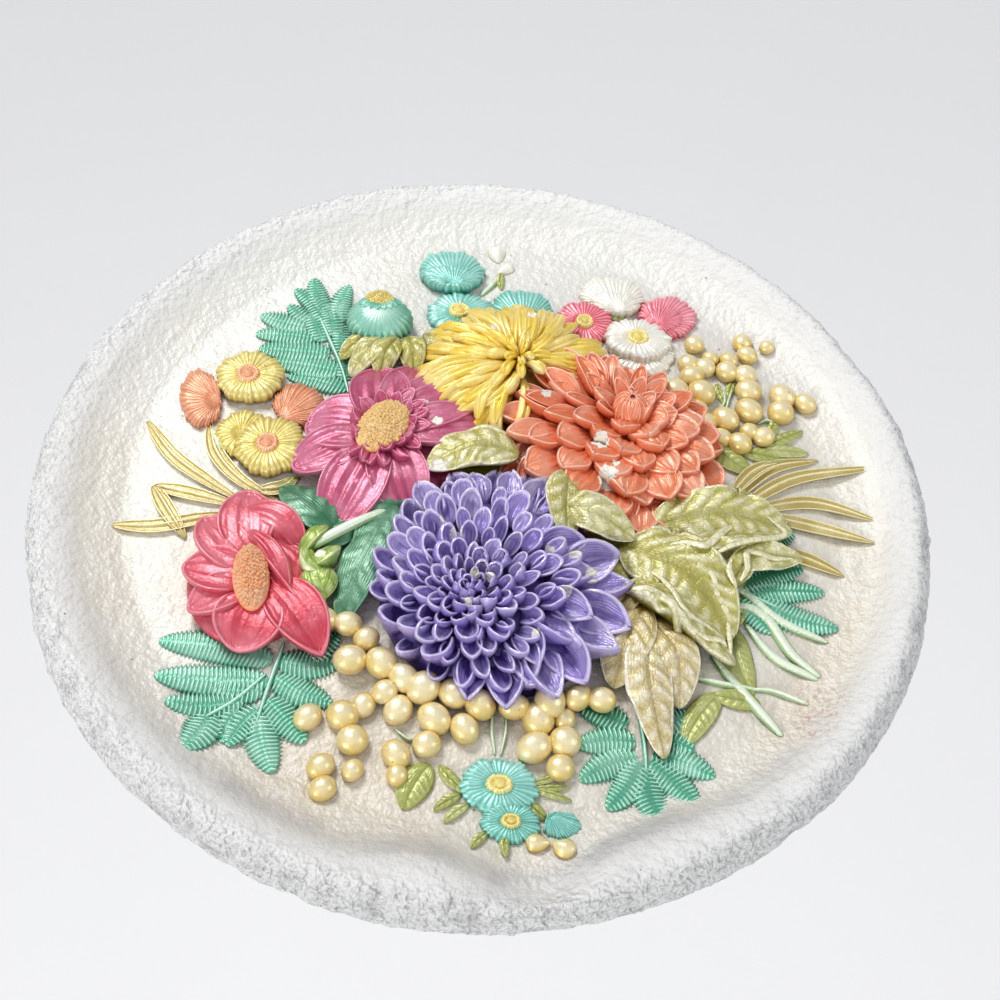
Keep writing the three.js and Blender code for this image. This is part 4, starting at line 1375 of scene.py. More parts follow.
@dataclass
class Anemone:
    """The red anemone: open petals round a long tilted eye, those on the right folded over towards it.

    Each row is a root and a tip with their heights, then width, arch, bow, bank, cup and point.
    """

    rows: Rows = (
        (-84, -48, 20, -91, -15, 18, 22, 3.0, 1.0, 0.0, 0.2, 0.15),
        (-90, -27, 20, -66, -43, 18.5, 15, 4.4, 3.4, 0.3, -1.4, 0.20),
        (-83, -52, 20, -106, -30, 18, 20, 3.4, 1.0, 0.1, 0.2, 0.25),
        (-81, -57, 20, -108, -54, 18, 20, 3.2, 0.0, 0.0, 1.4, 0.20),
        (-81, -60, 20, -102, -72, 17, 17, 3.0, -1.0, 0.1, 1.4, 0.20),
        (-78, -60, 20, -82, -87, 18, 26, 3.2, 0.5, 0.0, 0.4, 0.12),
        (-76, -56, 20, -51, -85, 18, 21, 3.6, 1.5, 0.0, 0.4, 0.28),
        (-86, -38, 19, -58, -66, 18, 18, 2.4, 5.0, -0.35, 1.2, 0.10),
        (-87, -37, 22, -68, -65, 21, 9.5, 3.4, 2.4, 0.5, -1.8, 0.20),
    )

    def piece(self) -> Piece:
        """The petals as a piece."""
        rows = np.array(self.rows)
        width, arch, bow, bank, cup, point = rows[:, 6:].T
        petals = Petals(
            rows[:, :3], rows[:, 3:6], width, arch=arch, bow=bow, bank=bank, cup=cup, rim=0.6, lip=0.1,
            curl=-0.3, waist=0.15, point=point, body=6.5, groove=0.17, crease=0.5, spokes=66,
        )
        bed = mound((-82, -55, 15), (24, 28, 5.0), spokes=60)
        paint = PearlPaint("coral_pearl", (198, 62, 80), (178, 20, 44), (240, 156, 170), edge=0.55, brush=2.2)
        return Piece("red_anemone", paint, [petals.shells(), bed])


@dataclass
class FlowerEyes:
    """The coarse golden eyes of the mauve dahlia and the anemone."""

    mauve: Point = (-43.0, 17.0, 26.0)
    red: Point = (-81.5, -58.0, 23.0)

    def eye(self, centre: tuple, across: float, along: float, high: float, turn: float, count: int) -> list:
        """A domed bed covered with beads; the bed is painted as shade all over, for the gaps between them."""
        bed = mound(centre, (across, along, high), turn=turn)
        return [bed, seeds(centre, (across - 0.4, along - 0.4, high), turn, count, 0.8)]

    def pieces(self) -> list[Piece]:
        """Both eyes."""
        gold = PearlPaint("eye_gold", (255, 216, 146), (240, 172, 96), (255, 244, 212), 0.0, 0.8)
        apricot = PearlPaint("eye_apricot", (255, 186, 134), (236, 140, 92), (255, 230, 200), 0.0, 0.8)
        return [
            Piece("mauve_eye", gold, self.eye(self.mauve, 14.0, 9.6, 4.6, 1.15, 230)),
            Piece("anemone_eye", apricot, self.eye(self.red, 14.4, 6.8, 4.4, 1.8, 190)),
        ]


@dataclass
class Chrysanthemum:
    """The yellow chrysanthemum: thin strap petals, of which the orange dahlia hides the near ones.

    Each row is a number of straps, their reach, their lift and their width. The orange dahlia is taken as an
    ellipse: its centre and its two radii.
    """

    head: Head = Head((8, 57), (7, 59), (44, 40), 16, 26.5)
    rows: Rows = (
        (30, 1.0, 0.2, 5.8), (24, 0.87, 1.6, 5.4), (19, 0.7, 2.8, 5.0), (12, 0.5, 3.8, 4.6),
        (7, 0.3, 4.6, 4.2), (5, 0.15, 5.6, 3.4), (34, 0.95, -2.0, 6.6),
    )
    orange: tuple[float, float, float, float] = (50, 22, 39, 36)

    def straps(self) -> Blades:
        """The strap petals, without those that the orange dahlia covers."""
        spines, widths = [], []
        for row, (count, reach, lift, width) in enumerate(self.rows):
            first, second, third = scatter(count, 40 + row)
            for step in range(count):
                angle = 2 * math.pi * (step + 0.37 * row) / count + 0.09 * first[step]
                far = reach * (1 + 0.07 * second[step])
                stations = np.array([0.06, 0.4, 0.74, 1.0])
                raised = lift + np.array([-2.5, 0.6, 1.2, 0.4]) + 0.9 * third[step]
                spine = self.head.place(angle + 0.3 * third[step] * stations**2, far * stations, raised)
                across, along = (spine[-1, :2] - self.orange[:2]) / self.orange[2:]
                if math.hypot(across, along) > 1:
                    spines.append(spine)
                    widths.append(width * (1 + 0.15 * second[step]))
        return Blades(
            spines, np.array(widths), Surface.STRAP, crest=1.4, body=3.5, peak=0.64, blunt=0.42, depth=0.75,
            twist=0.6 * scatter(len(spines), 50)[0], stations=18,
        )

    def piece(self) -> Piece:
        """The flower as a piece."""
        paint = PearlPaint("yellow_pearl", (236, 204, 76), (206, 152, 8), (254, 246, 196), edge=0.7)
        bed = Head(self.head.eye, (5, 60), (35, 31), 15, 24).bed(2.5)
        middle, radii = np.array([[8, 57, 26.0]]), np.array([[4.2, 3.6, 3.4]])
        heart = Domes(middle, radii, rings=8, spokes=24, ribs=8, rib_depth=0.12)
        shells = [self.straps().shells(), bed, heart.shells()]
        return Piece("yellow_chrysanthemum", paint, shells, ((-4, 74, 1.6), (11, 83, 2.0)))


DAISY_YELLOW = PearlPaint("daisy_yellow", (210, 188, 92), (166, 130, 34), (236, 224, 160))
DAISY_SALMON = PearlPaint("daisy_salmon", (204, 126, 88), (168, 82, 46), (232, 174, 138))
DAISY_BLUE = PearlPaint("daisy_turquoise", (116, 192, 178), (58, 150, 134), (190, 236, 228), edge=0.5)
POPPY_BLUE = PearlPaint("poppy_turquoise", (104, 180, 158), (50, 124, 100), (190, 230, 212))
DAISY_PINK = PearlPaint("daisy_pink", (226, 98, 116), (196, 52, 78), (248, 190, 200))
DAISY_WHITE = PearlPaint("daisy_white", (238, 234, 220), (204, 194, 164), (250, 249, 244), edge=0.5)
EYE_YELLOW = PearlPaint("eye_yellow", (242, 222, 132), (212, 172, 76), (252, 242, 190), edge=0.7)
EYE_SALMON = PearlPaint("eye_salmon", (238, 172, 128), (212, 128, 72), (250, 218, 190), edge=0.5)


@dataclass
class Daisies:
    """Small ribbed daisies in loose groups, seen from the front, from the side or half hidden.

    Each row holds the hub, the centre, the two radii, the turn, the base, the height and the tilt. A row of
    an eye holds the centre, the two radii and the base.
    """

    yellow: Rows = (
        (-102, 43, -102, 44, 14, 14, 0, 15.5, 3.6, -0.06),
        (-100, 14, -99, 15, 11.5, 12, 0, 13.5, 2.6, 0),
        (-88, 8, -87, 9, 14, 15, 0, 15.5, 3.8, -0.05),
    )
    salmon: Rows = (
        (-112, 29, -120, 31, 8.5, 15.5, 0.3, 13.5, 3.0, 0),
        (-86, 24, -80, 33, 10.5, 12, 0.5, 13.0, 3.0, 0),
    )
    turquoise: Rows = (
        (-24, 108, -26, 119, 14.5, 13.5, 0, 14, 4.2, -0.1),
        (-24, 106.5, -25.5, 113, 12.5, 7.4, 0, 16.2, 3.0, 0),
        (-20, 93, -19, 93, 15, 13.5, 0, 13.5, 3.0, 0),
        (9, 90, 7, 102, 13.5, 10.5, 0, 13.0, 3.2, 0),
        (16.5, -126, 16.5, -126, 13.6, 10.6, 0, 13.5, 2.8, 0),
        (21.5, -139, 21.5, -139, 10.2, 7.4, 0, 13.8, 2.6, 0),
        (34, -134, 39, -138, 6.5, 4.6, 0.3, 13.2, 2.4, 0),
    )
    pink: Rows = (
        (34.5, 95, 35, 96, 12.8, 13, 0, 13.8, 3.0, 0),
        (66, 98, 71, 105, 13.2, 12, 0.6, 13.5, 3.4, 0.03), (66, 96.5, 69, 101.5, 9.5, 6.8, 0.6, 15.4, 2.6, 0),
    )
    white: Rows = (
        (49, 104, 46, 115, 14.5, 11.5, 0, 13.2, 3.0, 0), (49, 103, 47.5, 109.5, 11, 7, 0, 14.8, 2.4, 0),
        (57, 87, 58, 88, 14.5, 12.5, 0, 15.5, 3.6, -0.08),
        (60, 82, 61, 82, 13.5, 12.5, 0, 13.0, 3.0, 0),
    )
    eyes: Rows = (
        (-102.5, 43, 5, 5, 18.6), (-88, 8, 4.6, 5.2, 18.9),
        (-20, 94, 4.9, 4.2, 16.2), (34.5, 95, 4.1, 4.1, 16.6), (58, 87, 4.8, 4.8, 18.6),
        (16.5, -126, 4.9, 3.8, 16.1), (21.5, -139, 3.6, 2.8, 16.2),
    )

    def flowers(self, rows: Rows) -> Shells:
        """A group of daisies."""
        table = np.array(rows, float)
        turn, base, high, tilt = table[:, 6:].T
        return Fans(table[:, 0:2], table[:, 2:4], table[:, 4:6], base, high, turn, tilt=tilt).shells()

    def buttons(self, rows: Rows) -> Shells:
        """Eyes: a raised ring round a small dome."""
        table = np.array(rows, float)
        made = Fans(
            table[:, 0:2], table[:, 0:2], table[:, 2:4], table[:, 4], 1.7,
            profile=((0, 1.35), (0.3, 1.2), (0.48, 0.35), (0.72, 1.05), (0.9, 0.8), (1, 0.0)),
            ribs=20, rib_height=0.09, scallop=0.05,
        )
        return made.shells()

    def pieces(self) -> list[Piece]:
        """The daisies, one piece for each paint."""
        return [
            Piece("yellow_daisies", DAISY_YELLOW, [self.flowers(self.yellow)]),
            Piece("salmon_daisies", DAISY_SALMON, [self.flowers(self.salmon)]),
            Piece("turquoise_daisies", DAISY_BLUE, [self.flowers(self.turquoise)]),
            Piece("pink_daisies", DAISY_PINK, [self.flowers(self.pink)]),
            Piece("white_daisies", DAISY_WHITE, [self.flowers(self.white)]),
            Piece("salmon_eyes", EYE_SALMON, [self.buttons(self.eyes[:2])]),
            Piece("yellow_eyes", EYE_YELLOW, [self.buttons(self.eyes[2:])]),
        ]


@dataclass
class PoppyHead:
    """The turquoise poppy head: a ribbed ball with a stippled crown."""

    centre: Point = (-53.0, 80.6, 18.6)
    radii: Point = (13.6, 12.8, 8.4)
    crown: tuple[float, float] = (-54.0, 87.0)

    def on_ball(self, places: Array, lift: float) -> Array:
        """Places on the ball, a little above it."""
        away = (places - np.array(self.centre[:2])) / np.array(self.radii[:2])
        height = self.centre[2] + self.radii[2] * np.sqrt(np.clip(1 - (away**2).sum(axis=1), 0, 1))
        return np.column_stack([places, height + lift])

    def pieces(self) -> list[Piece]:
        """The ball with its ring of points, and its crown."""
        middle, radii = np.array([self.centre]), np.array([self.radii])
        ball = Domes(middle, radii, rings=26, spokes=156, ribs=26, rib_depth=0.06)
        way = 2 * np.pi * (np.arange(18) + 0.5) / 18
        out = np.column_stack([np.cos(way), 0.85 * np.sin(way)])
        crown = np.array(self.crown)
        points = Petals(
            self.on_ball(crown + 4.5 * out, 0.1), self.on_ball(crown + 9.4 * out, 0.35), 3.2, arch=0.2,
            rim=0.25, waist=0.1, point=0.7, body=1.4, spokes=16,
        )
        centre = self.on_ball(crown[None], -0.3)
        bed = Domes(centre, np.array([[6.2, 4.8, 1.6]]), rings=6, spokes=24)
        beads = seeds(centre[0], (5.9, 4.5, 1.6), 0.1, 70, 0.6)
        return [
            Piece("poppy_head", POPPY_BLUE, [ball.shells(), points.shells()]),
            Piece("poppy_crown", EYE_YELLOW, [bed.shells(), beads]),
        ]


GOLD = PearlPaint(
    "berry_gold", (232, 206, 130), (164, 126, 50), (252, 244, 214), pearl=0.36, edge=0.5, furrow=0.0,
    roughness=0.33,
)
# Berries as (u, v, radius). Those of the first table stand on the field, those of the second crowd a flower.
LOW_BERRIES = (
    (-34, -101, 4.5), (-40.5, -106, 5.5), (-52.5, -108, 4.8), (-35.7, -115, 5.3), (-45, -126, 4.6),
    (-34, -126, 3.8), (-43, -134, 4.5), (-20, -118.5, 5), (-18.7, -126, 3.8), (-21.5, -101.5, 5.2),
    (-8.5, -103.5, 5.8), (2.5, -106, 5.2), (-10, -113.5, 4.8), (28, -99.5, 6), (27.5, -110.5, 5.8),
    (38, -107, 5.5), (37, -117, 4.8), (37.5, -98, 4), (75, 62, 5.4), (86, 62, 5.8), (82, 71, 5),
    (80.5, 78, 4.5), (87.5, 77, 4.5), (83, 90, 4.2), (97, 76, 4.8), (105, 75, 4.8), (106, 66, 5.4),
    (106, 55, 5.5), (104, 94, 4.2), (114.5, 92, 3.2), (106, 87, 4.2), (120.5, 65, 5.4), (130, 62, 4.5),
    (119.5, 56, 5.4), (96, 49, 5.5), (84.5, 52, 4.8), (87.5, 46, 4.8), (94, 39, 4.5), (102, 37, 4.8),
    (106, 44, 4), (112, 42, 4.5), (98, 83, 3.8), (90, 83, 3.6),
)
HIGH_BERRIES = (
    (-44, -70, 4.8), (-36.5, -75.5, 4.6), (-41, -85, 5.6), (-29.5, -85, 5.8), (-21, -90, 5.4),
    (-13.5, -93, 6), (-2.5, -94, 5.4), (7, -97, 5.6), (19, -96.5, 5), (31.5, -93, 5.8), (41.5, -90, 4.8),
    (50, -90, 4.8), (-53, -69, 4.8), (-27, -96, 4.4), (-57, -64, 4.2),
)


@dataclass
class Berries:
    """Gold berries in loose trusses: slightly long ellipsoids, each turned its own way."""

    raised: float = 2.4

    def piece(self) -> Piece:
        """All the berries as a piece."""
        rows = np.array(LOW_BERRIES + HIGH_BERRIES)
        raised = np.where(np.arange(len(rows)) < len(LOW_BERRIES), 0.0, self.raised)
        floor = field_height(rows[:, 0], rows[:, 1]) + raised
        size = rows[:, 2]
        longer = 1 + 0.09 * np.sin(9.1 * rows[:, 0] + rows[:, 1])
        radii = np.column_stack([size * 1.08 * longer, size * 1.06 / longer, size * 0.88])
        centre = np.column_stack([rows[:, :2], floor + 0.45 * size])
        balls = Domes(centre, radii, turn=0.9 * np.sin(rows[:, 0]), rings=11, spokes=22)
        return Piece("gold_berries", GOLD, [balls.shells()], ((-29.5, -87, 0.5),))


FERN_GREEN = PearlPaint(
    "fern_green", (84, 168, 138), (30, 108, 78), (186, 230, 212), edge=1.0, furrow=0.0, pearl=0.2,
)
# Fern leaflets as (root u, root v, tip u, tip v, width).
FERN_LEAFLETS = (
    (-77, 84, -86, 107, 7.5), (-71, 80, -70, 105, 7.5), (-74, 79, -93, 99, 8), (-84, 81, -94, 89, 6),
    (-84, 77, -105, 81, 8), (-79, 71, -105, 70, 8.5), (-72, 63, -102, 62, 10.5), (-66, 54, -96, 56, 10.5),
    (-62, 45, -88, 49, 8.5), (-76, 70, -84, 86, 8), (-72, 74, -79, 92, 8), (-66, 62, -69, 82, 8),
    (-63, 50, -66, 64, 8),
    (-70, -77, -98, -75, 8), (-69, -86, -111, -83, 10), (-69, -95, -109, -98, 10), (-76, -104, -103, -108, 8),
    (-86, -110, -92, -126, 10), (-78, -108, -80, -121, 6), (-67, -86, -45, -85, 9), (-67, -93, -45, -101, 9),
    (-68, -102, -52, -117, 9), (-70, -108, -61, -130, 9), (-57, -84, -47, -72, 7), (-70, -99, -90, -99, 8),
    (-70, -106, -78, -122, 8),
    (101, -33, 126, -21, 8.5), (103, -35, 134, -31, 8.5), (106, -38, 138, -48, 9), (100, -39, 113, -52, 8),
    (112, -12, 123, -4, 8), (99, -30, 112, -21, 7),
    (60, -97, 41, -91, 8), (63, -103, 42, -107, 8.5), (64, -109, 44, -120, 8.5), (65, -111, 54, -130, 8.5),
    (66, -112, 73, -135, 9), (68, -110, 85, -126, 8.5), (69, -107, 91, -114, 8.5), (70, -101, 84, -104, 8),
    (71, -96, 83, -89, 8), (66, -99, 74, -90, 7),
)
FERN_STEMS = (
    ((-60, 40), (-66, 56), (-74, 72), (-80, 84)), ((-66, -78), (-68, -94), (-70, -112)),
    ((-70, -92), (-79, -104), (-88, -112)), ((96, -32), (106, -37), (116, -41)),
    ((64, -94), (66, -104), (67, -114)),
)


def on_field(points: tuple | list, lift: float) -> Array:
    """Points (u, v) laid on the field and lifted."""
    points = np.asarray(points, float)
    return np.column_stack([points, field_height(points[:, 0], points[:, 1]) + lift])


def strands(rows: tuple, laid: Callable[[tuple], Array], surface: Surface, **shape: float) -> Shells:
    """Blades from rows of (points, width), whose points are given their heights by a function."""
    paths, widths = zip(*rows)
    return Blades([laid(path) for path in paths], np.array(widths, float), surface, **shape).shells()


@dataclass
class Ferns:
    """Fern fronds flat on the field: ribbed leaflets with toothed edges on round stems."""

    def piece(self) -> Piece:
        """All the fronds as a piece."""
        spines = []
        for u0, v0, u1, v1, _ in FERN_LEAFLETS:
            bend = 0.06 * math.sin(u1 + 2 * v1)
            middle = ((u0 + u1) / 2 - bend * (v1 - v0), (v0 + v1) / 2 + bend * (u1 - u0))
            spines.append(on_field([(u0, v0), middle, (u1, v1)], 0.5 + 0.4 * abs(math.sin(3 * u1))))
        widths = np.array([row[4] for row in FERN_LEAFLETS])
        leaflets = Blades(
            spines, widths * 1.36, Surface.FERN, peak=0.4, blunt=0.5, depth=0.38, pitch=1.6, stations=96,
            lanes=8,
        )
        stems = Blades(
            [on_field(points, 1.3) for points in FERN_STEMS], 1.9, Surface.STEM, blunt=0.25, body=1.5,
            stations=20, lanes=6,
        )
        return Piece("ferns", FERN_GREEN, [leaflets.shells(), stems.shells()])


KHAKI = PearlPaint("grass_khaki", (193, 173, 103), (146, 118, 40), (244, 236, 190), edge=1.0)
# Grass blades as the points of their spines.
GRASS = (
    ((-139, 17), (-125, 1), (-110, -9), (-93, -18)), ((-114, 19), (-108, 4), (-96, -8), (-78, -17)),
    ((-129, -15), (-113, -17), (-94, -20)), ((-129, -15), (-120, -27), (-111, -38)),
    ((-140, -36), (-124, -34), (-107, -28), (-95, -24)), ((-88, -12), (-80, -10), (-74, -3)),
    ((98, 8), (114, 26), (135, 34)), ((102, 5), (124, 22), (158, 30)), ((105, 4), (131, 11), (156, 3)),
    ((108, 2), (130, -1), (154, -8)), ((114, -14), (128, -17), (142, -23)), ((99, 12), (108, 24), (118, 30)),
)


@dataclass
class Grass:
    """Khaki grass blades either side of the bouquet."""

    def piece(self) -> Piece:
        """All the blades as a piece."""
        spines = [on_field(points, 0.3 + 0.5 * (k % 2)) for k, points in enumerate(GRASS)]
        blades = Blades(
            spines, 6.9, Surface.GRASS, crest=0.7, cup=0.7, peak=0.42, blunt=0.62, depth=1.0, stations=44,
            lanes=16,
        )
        return Piece("grass_blades", KHAKI, [blades.shells()])


OLIVE = PearlPaint(
    "leaf_olive", (184, 178, 98), (126, 118, 24), (242, 238, 206), edge=0.95, net=3.8, roughness=0.42,
)
OCHRE = PearlPaint(
    "leaf_ochre", (206, 190, 134), (144, 116, 48), (246, 240, 222), edge=0.95, net=3.4, roughness=0.42,
)
LEAF_GREEN = PearlPaint("leaf_green", (60, 122, 86), (16, 74, 44), (152, 196, 168), edge=0.7)
STEM_GREEN = PearlPaint("stem_green", (172, 200, 148), (98, 132, 62), (236, 246, 226), edge=1.0)
CALYX_GREEN = PearlPaint("calyx_green", (160, 184, 92), (96, 128, 30), (232, 240, 190), edge=0.8)
SPRIG_GREEN = PearlPaint("sprig_green", (168, 174, 96), (104, 116, 34), (226, 228, 176), edge=0.8)
# Leaves as (spine points with height, width, wave of the edge, twist).
OLIVE_LEAVES = (
    (((12, 11, 25), (-6, 12, 26), (-24, 1, 23)), 22, 1.2, 0.15),
    (((32, 4, 27), (31, -12, 29), (33, -29, 27.5)), 17, 0.8, -0.3),
    (((30, -14, 28), (43, -17, 29.5), (59, -24, 25)), 17, 1.2, 0.2),
    (((64, -14, 20), (94, -6, 23), (121, -9, 20)), 25, 3.0, 0.2),
    (((70, -24, 22), (90, -20, 24.5), (114, -13, 22)), 12, 1.8, -0.6),
    (((84, -28, 20), (103, -23, 22), (125, -20, 18.5)), 15, 2.4, 0.3),
    (((95, -38, 20), (100, -28, 22.5), (106, -19, 22)), 11, 1.2, 0.6),
    (((54, -24, 21), (79, -36, 24), (97, -60, 19)), 31, 2.6, 0.15),
    (((55, -42, 22), (74, -50, 25.5), (98, -71, 19.5)), 16, 2.6, -0.5),
    (((-48, 71, 19), (-55, 61, 21), (-61, 49, 17)), 13, 0.8, 0.2),
    (((-44, 71, 20), (-48, 60, 21.5), (-49, 50, 17)), 12, 0.8, -0.2),
    (((-40, 73, 19), (-37, 64, 20.5), (-35, 54, 16)), 12, 0.8, 0.2),
    (((-50, 74, 17), (-60, 68, 18), (-67, 59, 16)), 10, 0.5, 0.0),
    (((-34, 76, 18), (-27, 71, 19.5), (-22, 62, 17)), 12, 0.8, 0.3),
)
# Rolled edges and main veins of the large leaves as (points on the leaf, width).
LEAF_FOLDS = (
    (((72, -25), (78.5, -24), (84, -26), (87, -24), (91, -18.5), (95.5, -12.5), (100, -11)), 4.0),
    (((110, -5), (117.5, -9.5), (114.5, -13.5), (104.5, -19), (96, -23.5), (88.5, -29)), 3.2),
    (((120.5, -21.5), (113, -23.5), (106.5, -23), (102, -23.5), (101.5, -27), (102, -30.5), (99.5, -36)),
     3.6),
    (((95, -30.5), (95, -34), (97.5, -41)), 3.0),
    (((58, -48), (64, -48), (69.5, -51), (73.5, -56.5), (77, -61), (82, -68)), 4.4),
    (((82, -63.5), (86.5, -64), (91.5, -63), (94.5, -64.5)), 3.2),
    (((62, -35), (68, -39), (73, -45.5), (76.5, -53.5), (80.5, -57.5), (86.5, -58.5), (93, -61)), 2.6),
    (((83.5, -33), (88.5, -37.5), (90.5, -44), (94, -50), (95.5, -58), (96, -67.5)), 3.0),
)
OCHRE_LEAVES = (
    (((64, -50, 19.5), (58, -66, 21), (54, -85, 17.5)), 20, 1.2, 0.15),
    (((66, -58, 20), (66, -82, 21.5), (73, -110, 16.5)), 18, 1.2, -0.1),
    (((67, -56, 19.5), (76, -70, 20.5), (78, -90, 17)), 18, 1.2, -0.1),
    (((62, -42, 19), (56, -49, 20), (51, -62, 18)), 11, 0.8, 0.0),
)
GREEN_LEAVES = (
    (((-54, -31, 19), (-66, -21, 21), (-79, -12, 18)), 19, 0.6, 0.2),
    (((-34, -16, 20), (-42, -44, 21), (-47, -70, 16.5)), 18, 0.8, 0.2),
    (((-44, -20, 18), (-56, -33, 18.5), (-70, -36, 17)), 12, 0.5, 0.0),
    (((-28, -12, 18), (-40, -24, 19), (-46, -42, 18)), 12, 0.5, -0.3),
)
CALYX_LEAVES = (
    (((-58, -29, 20), (-63, -36, 22), (-66, -44, 20)), 8, 0.6, 0.5),
    (((-64, -40, 20), (-61, -48, 22.5), (-53, -52, 20)), 8, 0.6, -0.5),
    (((-52, -38, 20), (-57, -45, 23), (-63, -49, 20)), 8, 0.6, 0.5),
    (((-62, -48, 20), (-59, -57, 21.5), (-54, -64, 17)), 9, 0.8, 0.4),
    (((-54, -48, 20), (-54, -56, 21.5), (-58, -63, 17)), 8, 0.6, -0.4),
)
# The round stem between the flowers at the left, as (points with height, width).
HIGH_STEMS = ((((-64, -41, 19), (-58, -36, 21), (-48, -28, 21.5), (-36, -18, 20)), 4.8),)
# Cushions of foliage between the flowers, painted as shade all over, as (u, v, radius across, radius along,
# height of the middle).
OLIVE_CUSHIONS = ((70, -20, 37, 33, 18.5), (-4, 18, 26, 22, 18.0), (68, -62, 15, 22, 17.0))
GREEN_CUSHIONS = ((-46, -20, 22, 22, 17.5), (-30, -36, 15, 20, 17.0))


@dataclass
class Leaves:
    """Large leaves that lap over each other between the flowers, with veins and bright wavy edges, whose
    brightness is partly worn paint and partly painted highlight.
    """

    near: float = 1.3
    sunk: float = 0.5

    def group(self, rows: tuple, depth: float = 0.34) -> Shells:
        """A group of leaves."""
        spines, *others = zip(*rows)
        width, wave, twist = np.array(others, float)
        made = Blades(
            list(spines), width, Surface.LEAF, crest=1.6, cup=0.2, body=7.0, peak=0.45, blunt=0.6, pitch=6.5,
            depth=depth, wave=wave, twist=twist, stations=54, lanes=24,
        )
        return made.shells()

    def laid(self, path: tuple, leaves: Array) -> Array:
        """The points of a path laid on the highest leaf near each of them, sunk a little into it."""
        path = np.array(path, float)
        near = np.hypot(path[:, :1] - leaves[:, 0], path[:, 1:] - leaves[:, 1]) < self.near
        return np.column_stack([path, np.where(near, leaves[:, 2], FIELD).max(axis=1) - self.sunk])

    def cushions(self, rows: Rows) -> Shells:
        """Low cushions that close the gaps between the leaves, painted as shade all over."""
        table = np.array(rows, float)
        centre = np.column_stack([table[:, :2], np.full(len(table), FIELD)])
        return mound(centre, np.column_stack([table[:, 2:4], table[:, 4] - FIELD]))

    def pieces(self) -> list[Piece]:
        """The leaves, one piece for each paint, and the stem."""
        stem = strands(HIGH_STEMS, np.array, Surface.STEM, crest=2.0, body=2.4, blunt=0.2, stations=30)
        leaves = self.group(OLIVE_LEAVES)
        top = leaves.points()
        folds = strands(
            LEAF_FOLDS, lambda path: self.laid(path, top), Surface.FOLD, crest=0.65, body=1.6, blunt=0.42,
            stations=48,
        )
        olive = [leaves, folds, self.cushions(OLIVE_CUSHIONS)]
        green = [self.group(GREEN_LEAVES, 0.12), self.cushions(GREEN_CUSHIONS)]
        return [
            Piece("olive_leaves", OLIVE, olive, ((-19, 1, 3.4),)),
            Piece("ochre_leaves", OCHRE, [self.group(OCHRE_LEAVES)]),
            Piece("green_leaves", LEAF_GREEN, green),
            Piece("calyx_leaves", CALYX_GREEN, [self.group(CALYX_LEAVES, 0.14)], ((-58, -45, 2.0),)),
            Piece("high_stems", STEM_GREEN, [stem]),
        ]


# Thin stems as (points, width).
STEM_ROWS = (
    (((88, -33), (102, -35), (116, -46), (134, -54)), 4.6),
    (((95, -53), (101, -42), (111, -46), (120, -60), (130, -70)), 5.2),
    (((103, -49), (113, -62), (129, -71)), 4.0), (((90, -64), (101, -78), (115, -96)), 4.6),
    (((79, -74), (94, -76), (109, -77)), 2.6), (((104, -77), (113, -77), (125, -82)), 2.4),
    (((12, -92), (12, -104), (14, -114)), 1.6), (((16, -92), (17, -104), (16, -114)), 1.4),
    (((-4, 122), (-7, 115), (-12, 107)), 2.6), (((92, 52), (96, 60), (94, 70)), 1.5),
    (((96, 52), (98, 62), (101, 72)), 1.5), (((-113, 17), (-110, 12), (-106, 4)), 3.4),
    (((110, 50), (114, 52), (118, 50)), 1.4),
    (((78, 68), (70, 66), (64, 66)), 1.6), (((-22, -108), (-16, -112), (-12, -108)), 1.3),
)
# Small leaves beside the stems and berries as (root u, root v, tip u, tip v, width).
SMALL_LEAVES = (
    (112, 38, 129, 49, 6), (112, 36, 131, 37, 7), (112, 40, 118, 56, 5), (103, 34, 121, 32, 8),
    (90, 36, 107, 23, 12), (97, -50, 105, -80, 13), (108, -83, 90, -81, 8), (93, -80, 80, -103, 11),
    (-8, -120, -15, -138, 12),
    (-5, -120, 6, -130, 5), (26, -126, 41, -123, 3), (27, -125, 42, -128, 3), (26, -124, 38, -119, 3),
    (26, -130, 34, -136, 5), (4, -130, -5, -137, 4), (7, -133, -1, -141, 4), (14, -143, 9, -150, 3.6),
    (20, -144, 21, -152, 3.6), (-4, 123, -3, 112, 4), (49, 108, 50, 100, 8), (67, 99, 64, 94, 6),
    (104, -42, 96, -54, 6), (-82, -10, -73, -3, 4), (93, 70, 97, 58, 4), (100, 72, 98, 62, 4),
)
# Small buds like drops, from the round end to the tip, as (points, width).
GOLD_BUDS = (
    (((27, -145), (31, -145.4), (35.5, -145)), 7.2), (((44, -147), (39.6, -146.4), (35.8, -144.6)), 7.6),
)
CREAM_BUDS = ((((-7.4, 138.5), (-7, 134), (-6, 128.5)), 8.2), (((1, 128), (-2, 125.5), (-6, 121)), 6.4))


